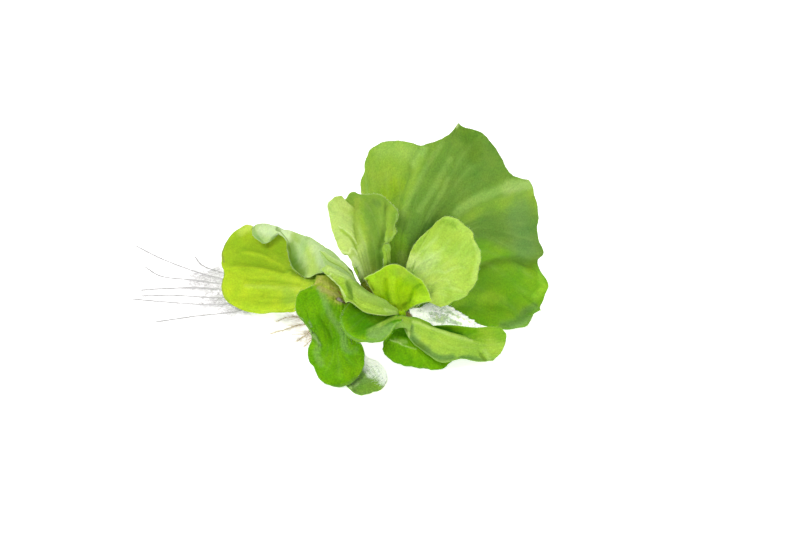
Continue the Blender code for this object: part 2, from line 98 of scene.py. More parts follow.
# A leaf is a set of rows from its foot to its rim. Each row runs across the blade, from left to right
# for someone who looks at the upper face with the foot nearest to them.
LEAF_ROWS = {
    "leaf_back": (
        ((-5.4, 7.4, 21.6), (-1.6, 6.2, 19.4), (3, 3.6, 18.6)),
        (
            (-13.5, 20, 46), (-0.5, 18, 62), (9.5, 20, 66.5), (22, 24, 59), (33, 28, 43.5),
            (35, 29, 24.5), (29.3, 13.6, 8.8),
        ),
        (
            (-20, 42, 64), (-18, 44, 80.5), (-11.5, 43, 90.5), (-3.5, 40, 94), (3, 36, 95.5),
            (8.5, 33, 95.5), (13.5, 34, 97), (21, 37, 99), (25, 39, 102), (27, 40, 103), (28.5, 40, 101),
            (36.5, 41, 97.5), (44, 42, 88), (47.5, 43, 79.5), (52, 44, 72.5), (59.5, 48, 67.5),
            (63, 49, 60), (65, 49, 53), (66.5, 48, 35), (68, 46.5, 28), (67, 45, 20.5), (67.5, 44, 17.5),
            (70, 42.5, 14.5), (70.8, 39.9, 11), (69.1, 36, 6.5), (67.7, 32.8, 4), (68.1, 30.8, 3),
            (63.7, 28.9, 2), (62, 24.9, 1.3), (59.7, 20, 1), (52.8, 18.2, 1), (47, 17.6, 1),
        ),
    ),
    "leaf_upper_left": (
        ((-16, 6, 29.4), (-11.2, 7.4, 27.3), (-5.8, 5.8, 24.6)),
        (
            (-21.2, 5, 40.5), (-23, 8, 60), (-19, 11, 64.5), (-11.5, 11, 65.5), (-7.5, 7, 63.5),
            (-9, 4.5, 50),
        ),
        (
            (-22.3, 5, 45.1), (-23.6, 5, 49.6), (-24.6, 5, 52.3), (-27.7, 5.5, 53.9), (-30.2, 7, 57.2),
            (-31.5, 8, 61), (-33, 9, 67), (-34, 10, 73), (-34.5, 11, 76.5), (-33, 12, 79),
            (-31, 13.5, 80), (-29, 15, 79), (-26.5, 17, 76.5), (-24, 19, 79), (-19.5, 20, 77),
            (-14, 20, 77.5), (-10.5, 19, 77.5), (-7, 17, 76), (-3.5, 15, 73), (-2, 13, 70), (-3, 11, 67),
            (-4.5, 9.5, 61), (-6.5, 8, 56.5), (-6.5, 6, 52.5),
        ),
    ),
    "leaf_right_inner": (
        ((1.8, 3.4, 24.5), (3.6, 3.1, 24.5), (5, 2.2, 24.1)),
        ((1, 5, 42.5), (7, 8, 47.5), (16.5, 9, 49), (20.5, 7, 42.5), (17.5, 4, 36), (10, 1, 30)),
        (
            (3.5, 9, 52.5), (7, 11, 58), (13.5, 13, 63), (17, 15, 66.5), (21, 16, 67.5), (25.5, 16, 66),
            (29, 15, 63), (32, 14, 60.5), (33, 13, 56.5), (36, 11, 51), (35.5, 9, 42.5), (33.5, 6, 36),
            (29, 4, 31), (22, 2.5, 27.5), (17.5, 1.5, 26.5),
        ),
    ),
    "leaf_centre": (
        ((-2.4, 0.6, 23.4), (-0.2, 1.4, 23.5), (1.5, 0.5, 24.6)),
        ((-10.5, 0.8, 29.5), (-5.5, 1, 39.5), (-1.5, 1.5, 39.5), (3, 0.5, 37.5), (6.5, -3, 31)),
        (
            (-18, -1, 44.5), (-13, 0, 47), (-8.5, 2, 49), (-5.5, 3, 50), (-2.5, 3, 50), (0.5, 3, 48),
            (3, 2, 46), (6, 1, 44.5), (9, 0, 42.5), (11.5, -1.5, 38.5), (13.5, -3, 33),
        ),
    ),
    "leaf_left": (
        ((-40.4, 8.6, 27), (-42.2, 13, 29.9), (-41, 16.7, 31.1), (-35, 19, 32), (-21.9, 15.6, 29.9)),
        (
            (-44, 8, 25), (-55.5, 21, 18), (-62, 32, 18), (-58.5, 39.5, 22), (-52.5, 44, 26),
            (-45, 41.5, 30), (-35, 33, 33), (-23.5, 19, 32.2),
        ),
        (
            (-44, 8.5, 24.5), (-55.5, 15.5, 15), (-70.5, 25, 9), (-78.5, 34, 8.5), (-81, 41.5, 13),
            (-81.5, 48, 16), (-79, 57.5, 20.5), (-72, 62, 27), (-67.5, 59, 33.5), (-62, 53.5, 35.5),
            (-56.5, 47.5, 37.5), (-48, 40, 39.5), (-37, 28.5, 38.6), (-25.8, 20.5, 34.6),
        ),
        (
            (-44, 8.5, 24.5), (-58, 19, 11), (-74.5, 27.5, 5.5), (-84.5, 35, 6.5), (-86.5, 43.5, 12),
            (-87, 51.5, 15.5), (-85.5, 63.5, 20), (-76, 65, 28), (-72.5, 57, 31.5), (-66.5, 54, 30),
            (-58.5, 47.5, 37), (-51, 36, 30.5), (-42.5, 23, 33.5), (-34, 20, 36.5),
        ),
        (
            (-44.5, 8, 24), (-51, 14, 15), (-59, 20, 9), (-68.5, 25.5, 5), (-76.5, 28.5, 4),
            (-82.5, 32, 4), (-87, 36, 5.5), (-89, 40.5, 8), (-89, 44, 11.5), (-88, 46.5, 14),
            (-90, 53, 15), (-90, 60.5, 17), (-88, 67, 20), (-83.5, 70, 24), (-77.5, 68.5, 28),
            (-73, 61, 31), (-73.5, 56.5, 30), (-70.5, 53, 28.5), (-67, 52, 28), (-63.5, 53, 30),
            (-60, 49, 36), (-56.5, 47, 33), (-56, 39.5, 28.5), (-52, 28, 28.8), (-44.8, 17.8, 32),
            (-41, 18.3, 33.4), (-38, 18.4, 34),
        ),
    ),
    "leaf_left_inner": (
        ((-2, -4.2, 26.3), (-2, -3, 27.2), (-2.6, -0.8, 27.3)),
        ((-9, -12, 31.5), (-10.5, -10, 35), (-12, -1.5, 34.5)),
        ((-18, -13.5, 35), (-20, -9.5, 39), (-19.5, 1.5, 39)),
        ((-24, -8, 36.5), (-26, 0, 38.5), (-26.5, 8.5, 40.5)),
        (
            (-26.5, -8, 36), (-29, -1, 38.5), (-31.5, 4, 40), (-36.5, 9, 41), (-38, 11, 41.5),
            (-35, 13.5, 42.5),
        ),
    ),
    "leaf_front_left": (
        ((-28, 5, 32.6), (-31.5, 9.5, 34.5), (-36, 14, 35.2), (-41, 16.4, 34.1)),
        ((-26, 1, 29.5), (-30.5, 0, 31.5), (-35.5, 2, 33.5), (-42, 10, 33)),
        (
            (-25, -3.5, 23.5), (-29, -4.5, 22), (-34, -2.5, 20.5), (-40, -3, 24.5), (-45.5, 0, 27.5),
            (-47.5, 6, 29.5),
        ),
        (
            (-24, -11, 14), (-28, -13, 12), (-32.5, -14, 10), (-37, -13.5, 13), (-40.5, -11.5, 18),
            (-44.5, -5.5, 23),
        ),
        (
            (-24, -7, 17.5), (-21.5, -9, 15), (-18.5, -10, 11.5), (-18, -13.5, 8), (-19, -20, 5.5),
            (-23.5, -26.5, 3.5), (-29, -27, 1.5), (-34.5, -25, 1), (-39, -21.5, 1.5), (-41.5, -17.5, 5),
            (-44, -15.5, 8), (-44.5, -13, 12), (-42.5, -11, 17), (-43.5, -9, 21.5), (-46, -6.5, 24),
            (-49, -4, 26.5), (-50, 0.5, 29.5), (-48.5, 5.5, 32), (-43, 9, 33),
        ),
    ),
    "leaf_front": (
        ((-0.6, -2.8, 23.9), (-2.4, -2.4, 23.9), (-4.1, -0.4, 24.6)),
        ((-1, -7.5, 26.5), (-6, -5, 26.5), (-11.5, -2.5, 27.5), (-19, 0.5, 29)),
        (
            (-0.5, -10.5, 28), (-7, -15, 27.5), (-13, -18.5, 25.5), (-20, -18.5, 24.5),
            (-25, -13.5, 25.5), (-26.5, -7.5, 29), (-24, -1.5, 31),
        ),
        (
            (-0.5, -11, 27), (-3.5, -12, 25.5), (-5, -13, 22.5), (-7, -13.5, 20), (-9.5, -15, 19),
            (-14, -16, 18.5), (-18, -16.5, 19), (-22, -16.5, 20), (-26.5, -14.5, 22.5), (-29, -11, 26.5),
            (-28.5, -8, 29.5), (-25.5, -3, 31.5),
        ),
    ),
    "leaf_front_right": (
        ((0, -4, 22.9), (-0.3, -5.2, 23), (-0.3, -6.6, 22.6), (0, -7.8, 21.6)),
        ((5, -3, 24), (5.5, -5, 24), (4.5, -7, 25.5), (4, -10, 21.5), (3.5, -13, 18)),
        ((13.5, 1, 17), (13.5, -2, 16.5), (12.5, -7, 21.5), (12.5, -11, 16.5), (10.5, -14, 11.5)),
        ((24, 3, 14.5), (23, -1, 12.5), (22, -7, 17.5), (21, -11.5, 12), (18, -15, 6.5)),
        ((34.5, 3, 13), (33.5, -1, 12.5), (32.5, -6, 12.5), (30.5, -10, 10), (27.5, -13, 7)),
        ((41, 2, 14.5), (41, -1, 12), (39, -5, 10), (37, -9, 8), (35, -12, 4.5)),
        ((46, 1.5, 14.5), (48.5, -1, 13), (48.5, -4.5, 10.5), (46, -9, 7.5), (42, -12, 5)),
    ),
    "leaf_under_right": (
        ((3.6, -4.5, 20.2), (0, -4.9, 20.4), (-3.9, -4.3, 20.8)),
        ((4.5, -7, 16.5), (0, -7, 17.5), (-5, -6.5, 18.5)),
        ((7.5, -9.5, 11.5), (2.5, -10, 13.5), (-2.5, -9.5, 15), (-7.5, -7.5, 16.5)),
        (
            (23, -8, 1.2), (17.5, -13.5, 1), (10.5, -13, 1), (3.5, -12, 1.5), (-3, -11.5, 3),
            (-7.5, -10.5, 6), (-9.5, -9, 9.5), (-9, -6.5, 13),
        ),
    ),
    "leaf_under_front": (
        ((-17, 1.5, 18.5), (-20, 1.8, 18.8), (-24, 3, 20)),
        ((-20.5, -4, 11), (-23, -4.5, 11), (-26.5, -3, 12)),
        ((-17.5, -9, 5), (-20.5, -13.5, 3.2), (-25, -12.5, 3.8)),
        (
            (-13.5, -11.5, 5), (-10, -14, 4), (-7.5, -19.5, 2.5), (-7.5, -23.5, 1.5), (-9.5, -27.5, 1),
            (-13, -30, 1), (-17, -32, 1), (-22, -31.5, 1), (-26, -26.5, 1), (-29, -20.5, 1.2),
        ),
    ),
    "leaf_pale": (
        ((4, 1.8, 22.3), (4.9, 0.6, 21.2), (5.2, -1, 19.6)),
        ((12.5, 7, 24.5), (13.5, 5.5, 21.5), (14, 3.5, 18.5)),
        ((21, 9, 22), (26, 9, 18.5), (32, 9, 14), (37, 8, 10), (32, 6.5, 9), (24.5, 5, 11.5)),
    ),
    "crown_sheath": (
        ((-3.5, -12, 23.5), (-1.2, -12, 24.4), (1.4, -11.6, 23.8), (3, -11.2, 21.4)),
        ((-3.8, -11.2, 25.8), (-1.2, -11, 27), (1.4, -10.4, 26.4), (3.9, -9.4, 23.8)),
        ((-4, -9, 26.6), (-1.2, -8.6, 27.9), (1.6, -8.2, 27.3), (4.8, -7.6, 25)),
        ((-4, -7, 26.2), (-1.2, -6.4, 27.2), (1.8, -6.2, 26.7), (5.4, -6, 25)),
    ),
    "crown_scale": (
        ((-2.8, -3.2, 23.6), (-0.8, -4, 23.6), (1, -3.6, 23.4)),
        ((-2.8, -3, 25.6), (-0.8, -4.2, 26), (1.3, -3.4, 25.6)),
        ((-2.2, -2.6, 27), (-0.6, -3.2, 27.7), (1.1, -2.8, 27)),
    ),
    "left_inner_turn": (
        (
            (-39.8, 29, 39.4), (-38.2, 21.5, 40.6), (-35.8, 13.6, 41.7), (-30, 10.8, 40.4),
            (-26.3, 8.3, 39.5), (-22.5, 4.9, 39), (-19.3, 1.4, 37.8),
        ),
        (
            (-39.8, 29, 39.7), (-37.1, 27.5, 39.5), (-34.2, 25.5, 38.8), (-29.6, 22, 37.8),
            (-26.2, 18.5, 36.8), (-23.5, 13, 36.6), (-20.4, 6, 36.6),
        ),
    ),
    # A dark sheet in the gap beside the small leaf: painted shade of the gap, in a brown tone.
    "gap_shade_sheet": (
        ((-19.5, 4.2, 33.6), (-16.5, 3.6, 31.5), (-13, 3, 29.5)),
        ((-19.8, 4.2, 38), (-17, 3.6, 39.5), (-13.5, 3, 37.5)),
    ),
    "pale_flap": (
        (
            (3.8, -1, 22.4), (8, -0.5, 18.5), (12.7, 1.2, 16.3), (19.4, 2.7, 14.9), (26.1, 4.2, 12.9),
            (31.9, 5.2, 11.2), (38.6, 5.7, 10),
        ),
        (
            (3.2, -0.4, 24), (8, 0.8, 21.6), (13.2, 2.6, 19.4), (20, 4.4, 17.2), (26.1, 5.6, 14.7),
            (31.9, 6.2, 12.3), (38.6, 6.2, 10.3),
        ),
        (
            (2.8, 1.2, 25.3), (8, 3.4, 24.1), (13.7, 5.4, 21.6), (20.4, 6.9, 18.8), (26.1, 7.4, 16),
            (31.9, 7.4, 13), (38.6, 6.9, 10.5),
        ),
    ),
}

# What a leaf's look says where it doesn't say otherwise.
PLAIN_LOOK = {
    "pleat": 0.2, "swell": 0.5, "up_share": 0.5, "under": "mint", "mottle": 0.4, "streaks": 0.4, "grain": 0.5,
    "glow": 0.0, "folds": {}, "strokes": {}, "under_strokes": {},
}

# How each leaf is dressed on its rows. A spot is a column and a row of the photograph's 800 x 533 frame,
# and stands for the place on the leaf that shows there.
#   grid      steps up the blade and across it
#   veins     veins in the fan
#   pleat     how far the blade swells between two veins
#   ruffle    waves along the rim, and their height
#   swell     height of the blade's broad unevenness
#   across    colours from the left margin to the right one, or one colour
#   up        colours from the foot to the rim, or one colour
#   up_share  how much the second counts against the first
#   vein      colour of the veins, and vein_strength how much they show
#   margin    colour of the thin margin and of the down on it
#   under     colour of the underside
#   mottle    strength of the broad spots, streaks of the lines along the veins, grain of the velvet
#   glow      painted glow: a light of its own given to white tissue, so that it stays white in shade
#   folds     half width and height in millimetres, then the spots that the fold runs through
#   strokes   colour, half width in millimetres and strength, then the spots; under_strokes lie beneath. Strokes paint the leaf's own marks and also painted light and shade: lit ridges, highlights, shade in folds and hollows
#   tufts     hairs along a stroke, how many and how long in millimetres
#   of        the leaf that a loose sheet belongs to, and foot its thickness in millimetres there
LEAF_LOOKS = {
    "leaf_back": {
        "grid": (110, 230), "veins": 21, "pleat": 0.35, "ruffle": (11, 0.8), "swell": 0.9,
        # The across ramp is partly painted light and shade: spring green where a lobe faces the light, deep
        # green where the blade turns from it; the up ramp paints shade at the foot.
        "across": (
            (0.0, "spring_green"), (0.19, "spring_green"), (0.225, "mid_green"), (0.42, "deep_green"),
            (0.54, "mid_green"), (0.60, "spring_green"), (0.66, "deep_green"), (0.75, "deep_green"),
            (0.79, "fresh_green"), (1.0, "fresh_green"),
        ),
        "up": ((0.0, "shade_green"), (0.35, "deep_green"), (0.8, "mid_green"), (1.0, "mid_green")),
        "up_share": 0.25, "vein": "light_green", "vein_strength": 0.17, "margin": "spring_green",
        "streaks": 0.22, "mottle": 0.35, "grain": 0.6,
        "folds": {
            "crease from the notch": (2.2, -1.7, (422, 146), (411, 168), (401, 186), (392, 203)),
            "channel from the tip": (3.5, -1.1, (461, 128), (452, 150), (430, 185), (412, 215)),
            "ridge beside it": (4.0, 1.0, (436, 140), (425, 160), (410, 190)),
            "dark hollow under the tip": (5.0, -1.3, (472, 135), (474, 158), (462, 178)),
            "upper right ridge": (5.0, 1.4, (517, 182), (496, 190), (470, 206), (455, 214)),
            "right hollow": (6.0, -1.5, (530, 222), (505, 226), (480, 232)),
            "fold over the low lobe": (2.6, -1.9, (541, 262), (520, 260), (495, 264), (472, 274)),
            "low lobe": (5.0, 1.2, (540, 278), (510, 284), (480, 292)),
            "turned low edge": (1.6, 0.9, (532, 316), (522, 323), (508, 328)),
            "groove beside it": (1.6, -0.7, (528, 312), (516, 319), (504, 324)),
            "left lobe crease": (2.5, -0.7, (384, 146), (388, 170), (384, 192)),
        },
        # Painted light: left lobe sheen, light notch, light band, bright lobe, light right margin, bright
        # strip, and deep inside left with lightest inside in the hollow between the leaves; painted shade:
        # dark under the tip, dark over the band, dark inside right, dark fold.
        "strokes": {
            "left lobe sheen": ("light_green", 6.0, 0.45, (382, 150), (408, 151)),
            "left lobe middle": ("spring_green", 5.0, 0.6, (386, 166), (396, 178)),
            "light notch": ("light_green", 2.6, 0.7, (422, 150), (414, 164)),
            "yellow below the lobe": ("olive_yellow", 4.5, 0.7, (379, 202), (396, 184)),
            "bluish beside the crease": ("spring_green", 2.2, 0.6, (420, 160), (410, 185), (403, 206)),
            "first pale streak": ("light_green", 1.7, 0.3, (441, 144), (428, 165), (415, 190), (400, 215)),
            "second pale streak": ("light_green", 1.6, 0.28, (451, 160), (435, 190), (420, 212)),
            "third pale streak": ("light_green", 1.4, 0.25, (448, 180), (436, 206), (428, 222)),
            "dark under the tip": ("shade_green", 5.0, 0.6, (468, 134), (476, 156)),
            "grey tip": ("rim_pale", 1.6, 0.7, (459.5, 124), (459.5, 127)),
            "pale end of the band": ("rim_pale", 4.0, 0.3, (530, 184), (508, 187)),
            "light band": (
                "light_green", 3.2, 0.6,
                (529, 184), (508, 184), (494, 192), (478, 198), (458, 212),
            ),
            "dark over the band": ("deep_green", 3.0, 0.6, (492, 178), (478, 186), (464, 196)),
            "bluish right": ("blue_green", 9.0, 0.75, (520, 212), (526, 250)),
            "dark inside right": ("deep_green", 6.0, 0.55, (490, 215), (505, 240)),
            "dark fold": ("shade_green", 2.4, 0.65, (540, 262), (520, 260), (495, 264), (478, 271)),
            "bright lobe": ("fresh_green", 9.0, 0.75, (536, 284), (508, 294), (492, 312)),
            "light right margin": ("leaf_light", 2.4, 0.6, (540, 276), (543, 288), (536, 296)),
            "bright strip": ("leaf_light", 3.4, 0.6, (458, 302), (504, 301)),
            "lowest strip": ("fresh_green", 4.0, 0.8, (462, 315), (488, 321)),
            "bluish low edge": ("blue_green", 2.6, 0.6, (536, 308), (518, 322), (504, 326)),
            "pale turned edge": ("bloom_green", 1.8, 0.7, (530, 317), (524, 323), (512, 327)),
            "deep inside left": ("leaf_light", 5.5, 0.8, (396, 240), (400, 262)),
            "lightest inside": ("light_lime", 2.8, 0.5, (401, 257), (404, 265)),
        },
    },
    "leaf_upper_left": {
        "grid": (80, 130), "veins": 11, "pleat": 0.25, "ruffle": (9, 0.8), "swell": 0.6,
        # The pale left half and darker right half are painted light and shade: the left half faces the light,
        # the right half turns from it.
        "across": (
            (0.0, "pale_green"), (0.35, "pale_green"), (0.42, "stripe_blush"), (0.52, "mid_green"),
            (0.75, "mid_green"), (0.9, "spring_green"), (1.0, "light_green"),
        ),
        "up": ((0.0, "spring_green"), (0.6, "spring_green"), (1.0, "lime")),
        "up_share": 0.25, "vein": "rim_pale", "vein_strength": 0.07, "margin": "rim_pale",
        "under": "spring_green", "streaks": 0.2, "mottle": 0.3, "grain": 0.4,
        "folds": {
            "flap crease": (1.0, -0.9, (340, 228), (345, 233), (352, 238), (357, 244), (359, 250)),
            "curl of the right margin": (1.2, -1.3, (388, 205), (384, 220), (381, 240), (381, 248)),
            "rolled strip": (2.2, 0.9, (392, 212), (388, 228), (386, 242)),
            "stripe groove": (1.2, -0.6, (356, 196), (356, 220), (359, 243)),
            "middle swell": (3.5, 0.8, (366, 200), (369, 245)),
            "left swell": (3.5, 0.9, (340, 206), (345, 238)),
            "step over the small strip": (1.0, -0.7, (379, 249), (388, 248)),
        },
        # Painted light: pale left, pale top, flap edge, edge of the strip, light over the crease, strip under
        # the flap; painted shade: middle, dark top, dark foot, curl shade, dark under the crease.
        "strokes": {
            "pale left": ("pale_green", 5.5, 0.8, (334, 206), (339, 225), (346, 242)),
            "pale top": ("pale_green", 2.4, 0.8, (344, 201), (350, 206)),
            "paler curl": ("rim_pale", 1.6, 0.5, (385, 243), (382, 248)),
            "blush stripe": ("stripe_blush", 1.8, 0.9, (356, 199), (356, 220), (359, 243)),
            "green beside it": ("olive_yellow", 1.5, 0.3, (364, 200), (364, 240)),
            "middle": ("mid_green", 3.6, 0.75, (370, 206), (372, 240), (373, 262)),
            "dark top": ("deep_green", 1.8, 0.7, (374, 200), (377, 204)),
            "dark foot": ("shade_green", 1.8, 0.7, (378, 256), (382, 268)),
            "curl shade": ("mid_green", 1.0, 0.5, (387, 206), (383, 222), (381, 246)),
            "rolled strip": ("spring_green", 2.2, 0.75, (392, 208), (388, 224), (385, 243)),
            "edge of the strip": ("light_green", 0.8, 0.7, (397, 214), (394, 234), (389, 243)),
            "small strip": ("light_green", 1.3, 0.7, (384, 251), (386, 262)),
            "flap edge": ("rim_pale", 0.6, 0.8, (340, 252), (350, 254), (358, 255)),
            "strip under the flap": ("rim_pale", 2.4, 0.85, (355, 261), (361, 275)),
            "light over the crease": ("rim_pale", 0.5, 0.6, (340, 227), (345, 232), (352, 237), (358, 245)),
            "dark under the crease": (
                "olive_yellow", 0.9, 0.6,
                (341, 231), (347, 236), (353, 242), (357, 250),
            ),
        },
    },
    "leaf_right_inner": {
        "grid": (80, 120), "veins": 11, "pleat": 0.35, "ruffle": (8, 0.6),
        "across": ((0.0, "bright_lime"), (0.5, "fair_lime"), (1.0, "fair_lime")),
        "up": ((0.0, "light_lime"), (0.5, "fair_lime"), (0.9, "bright_lime"), (1.0, "fair_lime")),
        "vein": "light_lime", "vein_strength": 0.35, "margin": "light_lime",
        "streaks": 0.35, "mottle": 0.35,
        "folds": {
            "turned top": (1.4, -0.9, (440, 224), (450, 224), (458, 227)),
            "shaded band": (2.4, -1.1, (433, 231), (424, 242), (416, 252)),
            "first rib": (1.0, 0.7, (410, 268), (425, 250), (438, 238)),
            "second rib": (1.0, 0.7, (413, 272), (430, 258), (450, 246)),
            "third rib": (1.0, 0.7, (425, 278), (445, 273), (465, 268)),
            "fourth rib": (1.0, 0.5, (430, 285), (450, 288), (462, 292)),
            "right turn": (1.3, -0.8, (473, 240), (475, 258), (471, 278)),
        },
        # Painted shade: shade of the turned top, shaded band, upper shade; painted light: foot light.
        "strokes": {
            "shade of the turned top": ("spring_green", 1.8, 0.6, (439, 225), (455, 226)),
            "shaded band": ("spring_green", 1.6, 0.5, (434, 233), (422, 244), (415, 255)),
            "first rib": ("light_lime", 1.0, 0.6, (410, 268), (425, 250), (438, 238)),
            "second rib": ("light_lime", 1.0, 0.6, (413, 272), (430, 258), (450, 246)),
            "third rib": ("light_lime", 1.0, 0.6, (425, 278), (445, 273), (465, 268)),
            "fourth rib": ("light_lime", 0.9, 0.4, (430, 285), (450, 288), (462, 292)),
            "between the ribs": ("lime", 1.2, 0.6, (420, 272), (440, 264), (458, 257)),
            "bright right": ("bright_lime", 7.0, 0.5, (452, 250), (468, 275)),
            "right margin": ("light_lime", 1.5, 0.5, (475, 246), (478, 262), (474, 280)),
            "green band low": ("lime", 1.6, 0.7, (448, 288), (448, 302)),
            "foot light": ("rim_pale", 4.2, 0.5, (412, 262), (422, 268), (433, 260)),
            "upper shade": ("lime", 5.5, 0.85, (434, 229), (445, 236), (454, 244)),
        },
    },
    "leaf_centre": {
        "grid": (70, 100), "veins": 7, "ruffle": (4, 0.3), "swell": 0.35,
        # The small leaf's bright yellow-green is its own colour with painted light that shines through it
        # from behind.
        "across": "glow_green",
        "up": ((0.0, "glow_light"), (0.5, "glow_green"), (0.85, "glow_soft"), (1.0, "glow_light")),
        "up_share": 0.4, "vein": "glow_light", "vein_strength": 0.2, "margin": "rim_pale",
        "under": "lime",
        "folds": {
            "left fold": (1.0, -0.9, (386, 282), (387, 290), (388, 304)),
            "right fold": (1.0, -1.2, (419, 286), (412, 291), (409, 297), (406, 304), (403, 311)),
            "ridge between": (2.2, 0.9, (396, 268), (394, 285), (394, 304)),
            "right lobe": (2.0, 0.7, (424, 288), (416, 300)),
            "left lobe": (2.0, 0.5, (374, 280), (380, 294)),
        },
        # Painted light: bright left, bright ridge, edge of the cavity; painted shade: upper shade, right
        # half, left fold, right fold.
        "strokes": {
            "bright left": ("glow_light", 2.6, 0.6, (374, 282), (380, 293)),
            "bright ridge": ("glow_light", 1.8, 0.5, (393, 280), (393, 304)),
            "upper shade": ("glow_soft", 3.4, 0.8, (400, 271), (411, 278)),
            "right half": ("fresh_green", 3.5, 0.4, (408, 283), (420, 290)),
            "left fold": ("hollow_green", 0.9, 0.15, (386, 283), (387, 291), (388, 304)),
            "right fold": (
                "hollow_green", 0.9, 0.3,
                (419, 286), (412, 291), (409, 297), (406, 304), (403, 311),
            ),
            "pale flap": ("glow_light", 2.2, 0.7, (412, 302), (428, 299)),
            # brown cavity is painted shade of the gap beside the leaf, in a brown tone.
            "brown cavity": ("cavity_brown", 1.3, 0.95, (364, 285), (367, 289), (370, 293)),
            "edge of the cavity": ("glow_light", 0.5, 0.7, (369, 283), (371, 288), (373, 294)),
        },
    },
    "leaf_left": {
        "grid": (130, 190), "veins": 13, "pleat": 0.4, "ruffle": (8, 0.35),
        # Lit and shaded copies: yellow green on the near half, which faces the light, olive yellow on the far
        # half in painted shade.
        "across": (
            (0.0, "yellow_green"), (0.38, "yellow_green"), (0.42, "olive_yellow"),
            (0.6, "olive_yellow"), (1.0, "spring_green"),
        ),
        "up": ((0.0, "lime"), (0.5, "yellow_green"), (1.0, "yellow_green")),
        "up_share": 0.3, "vein": "olive_yellow", "vein_strength": 0.25, "margin": "stripe_blush",
        "streaks": 0.35, "mottle": 0.35,
        "folds": {
            "trough of the far half": (2.2, -1.1, (234, 263), (262, 263), (285, 270)),
            "upper rib": (1.4, 0.8, (242, 252), (262, 255), (280, 264), (292, 272)),
            "middle rib": (1.8, 1.1, (227, 268), (250, 267), (275, 272), (298, 278)),
            "groove of the near half": (1.2, -0.6, (245, 278), (275, 280), (300, 283)),
            "lower rib": (1.5, 0.7, (243, 285), (265, 286), (300, 289)),
            "lower groove": (1.2, -0.6, (262, 294), (298, 296)),
            "lowest rib": (1.6, 0.5, (240, 300), (290, 303)),
            "valley of the roll": (1.7, 1.0, (287, 240), (288, 252), (290, 264), (296, 271), (303, 275)),
        },
        # Painted light on ribs and lit parts: pale top, upper rib, middle rib, lower rib, bright left;
        # painted shade: dark far half, dark trough, first, second and third groove, olive under the arch.
        "strokes": {
            "dark far half": ("olive_yellow", 2.4, 0.6, (238, 249), (262, 248), (285, 252)),
            "pale top": ("lime_yellow", 3.0, 0.85, (240, 230), (252, 228)),
            "upper rib": ("yellow_green", 1.2, 0.45, (242, 252.5), (262, 255), (280, 264), (292, 272)),
            "dark trough": ("olive_yellow", 2.0, 0.8, (232, 262), (262, 263), (288, 271)),
            "middle rib": ("yellow_green", 1.5, 0.55, (227, 268), (250, 267), (275, 272), (298, 278)),
            "first groove": ("olive_yellow", 1.0, 0.45, (245, 278), (275, 280), (300, 282.5)),
            "lower rib": ("lime_yellow", 1.3, 0.4, (245, 285), (265, 286), (300, 289)),
            "second groove": ("olive_yellow", 0.9, 0.4, (266, 295), (298, 296)),
            "third groove": ("olive_yellow", 0.7, 0.35, (252, 300), (296, 301)),
            "bright left": ("yellow_green", 6.0, 0.6, (231, 278), (240, 302)),
            "near the foot": ("lime", 5.0, 0.55, (286, 292), (300, 300)),
            "brown margin": ("margin_brown", 0.6, 0.6, (223, 261), (220.5, 252), (224, 240)),
            "brown margin low": ("margin_brown", 0.5, 0.35, (220, 274), (221.5, 288), (228, 302)),
            "olive under the arch": ("olive_yellow", 2.4, 0.7, (276, 246), (284, 249)),
        },
        # Painted light and shade across the roll: lime band, pale right and pale lobe are lit; dark valley,
        # deepest valley, shade under the arch and shade at the crest are shade.
        "under_strokes": {
            "lime band": ("fair_lime", 4.4, 0.75, (310, 250), (312, 261), (313, 270)),
            "dark valley": ("deep_green", 4.6, 0.85, (289, 246), (292.5, 256), (296.5, 265), (302, 272)),
            "deepest valley": ("shade_green", 2.4, 0.95, (287.5, 247), (289.5, 256), (293, 265), (300, 273)),
            "pale right": ("mint_pale", 3.4, 0.6, (314, 242), (320, 254), (326, 264)),
            "pale lobe": ("mint_pale", 3.4, 0.85, (262, 231), (275, 230), (288, 236)),
            "arch": ("mint_pale", 0.9, 0.7, (277, 237), (281, 234), (286, 238)),
            "shade under the arch": ("shade_green", 0.5, 0.7, (277, 240), (282, 236.5), (287, 241)),
            "bluish lobe edge": ("bloom_green", 0.9, 0.6, (254, 239), (262, 243.5), (271, 243)),
            "shade at the crest": ("spring_green", 1.6, 0.5, (292, 236), (300, 242)),
        },
    },
    "leaf_left_inner": {
        "grid": (90, 70), "veins": 6, "ruffle": (4, 0.3), "swell": 0.35,
        "across": ((0.0, "spring_green"), (0.5, "lime"), (1.0, "light_lime")),
        "up": ((0.0, "lime"), (0.5, "spring_green"), (1.0, "lime")),
        "vein": "light_lime", "vein_strength": 0.2, "margin": "rim_pale",
        "folds": {
            "crease": (1.0, -1.0, (348, 282), (349, 290), (350, 297)),
            "ridge": (2.5, 0.9, (360, 290), (372, 297), (386, 301)),
            "left groove": (0.9, -0.5, (333, 274), (339, 284), (343, 294)),
        },
        # Painted light: highlight, lower light; painted shade: crease, upper shade.
        "strokes": {
            "highlight": ("light_lime", 2.0, 0.4, (362, 292), (374, 297), (385, 300)),
            "crease": ("shade_green", 1.3, 0.65, (347, 281), (349, 290), (351, 297)),
            "bright strip": ("glow_light", 1.6, 0.5, (343, 277), (345, 295)),
            "pale line": ("rim_pale", 0.5, 0.7, (331, 272), (336, 280), (342, 288), (345, 296)),
            "lower light": ("bright_lime", 1.6, 0.6, (362, 305), (374, 308), (386, 310)),
            "tongue": ("light_lime", 1.4, 0.8, (386, 308), (392, 310), (397, 313)),
            "pale upper end": ("rim_pale", 1.8, 0.5, (328, 268), (338, 271), (347, 276)),
            "upper shade": ("spring_green", 1.2, 0.5, (356, 282), (368, 293)),
        },
    },
    "leaf_front_left": {
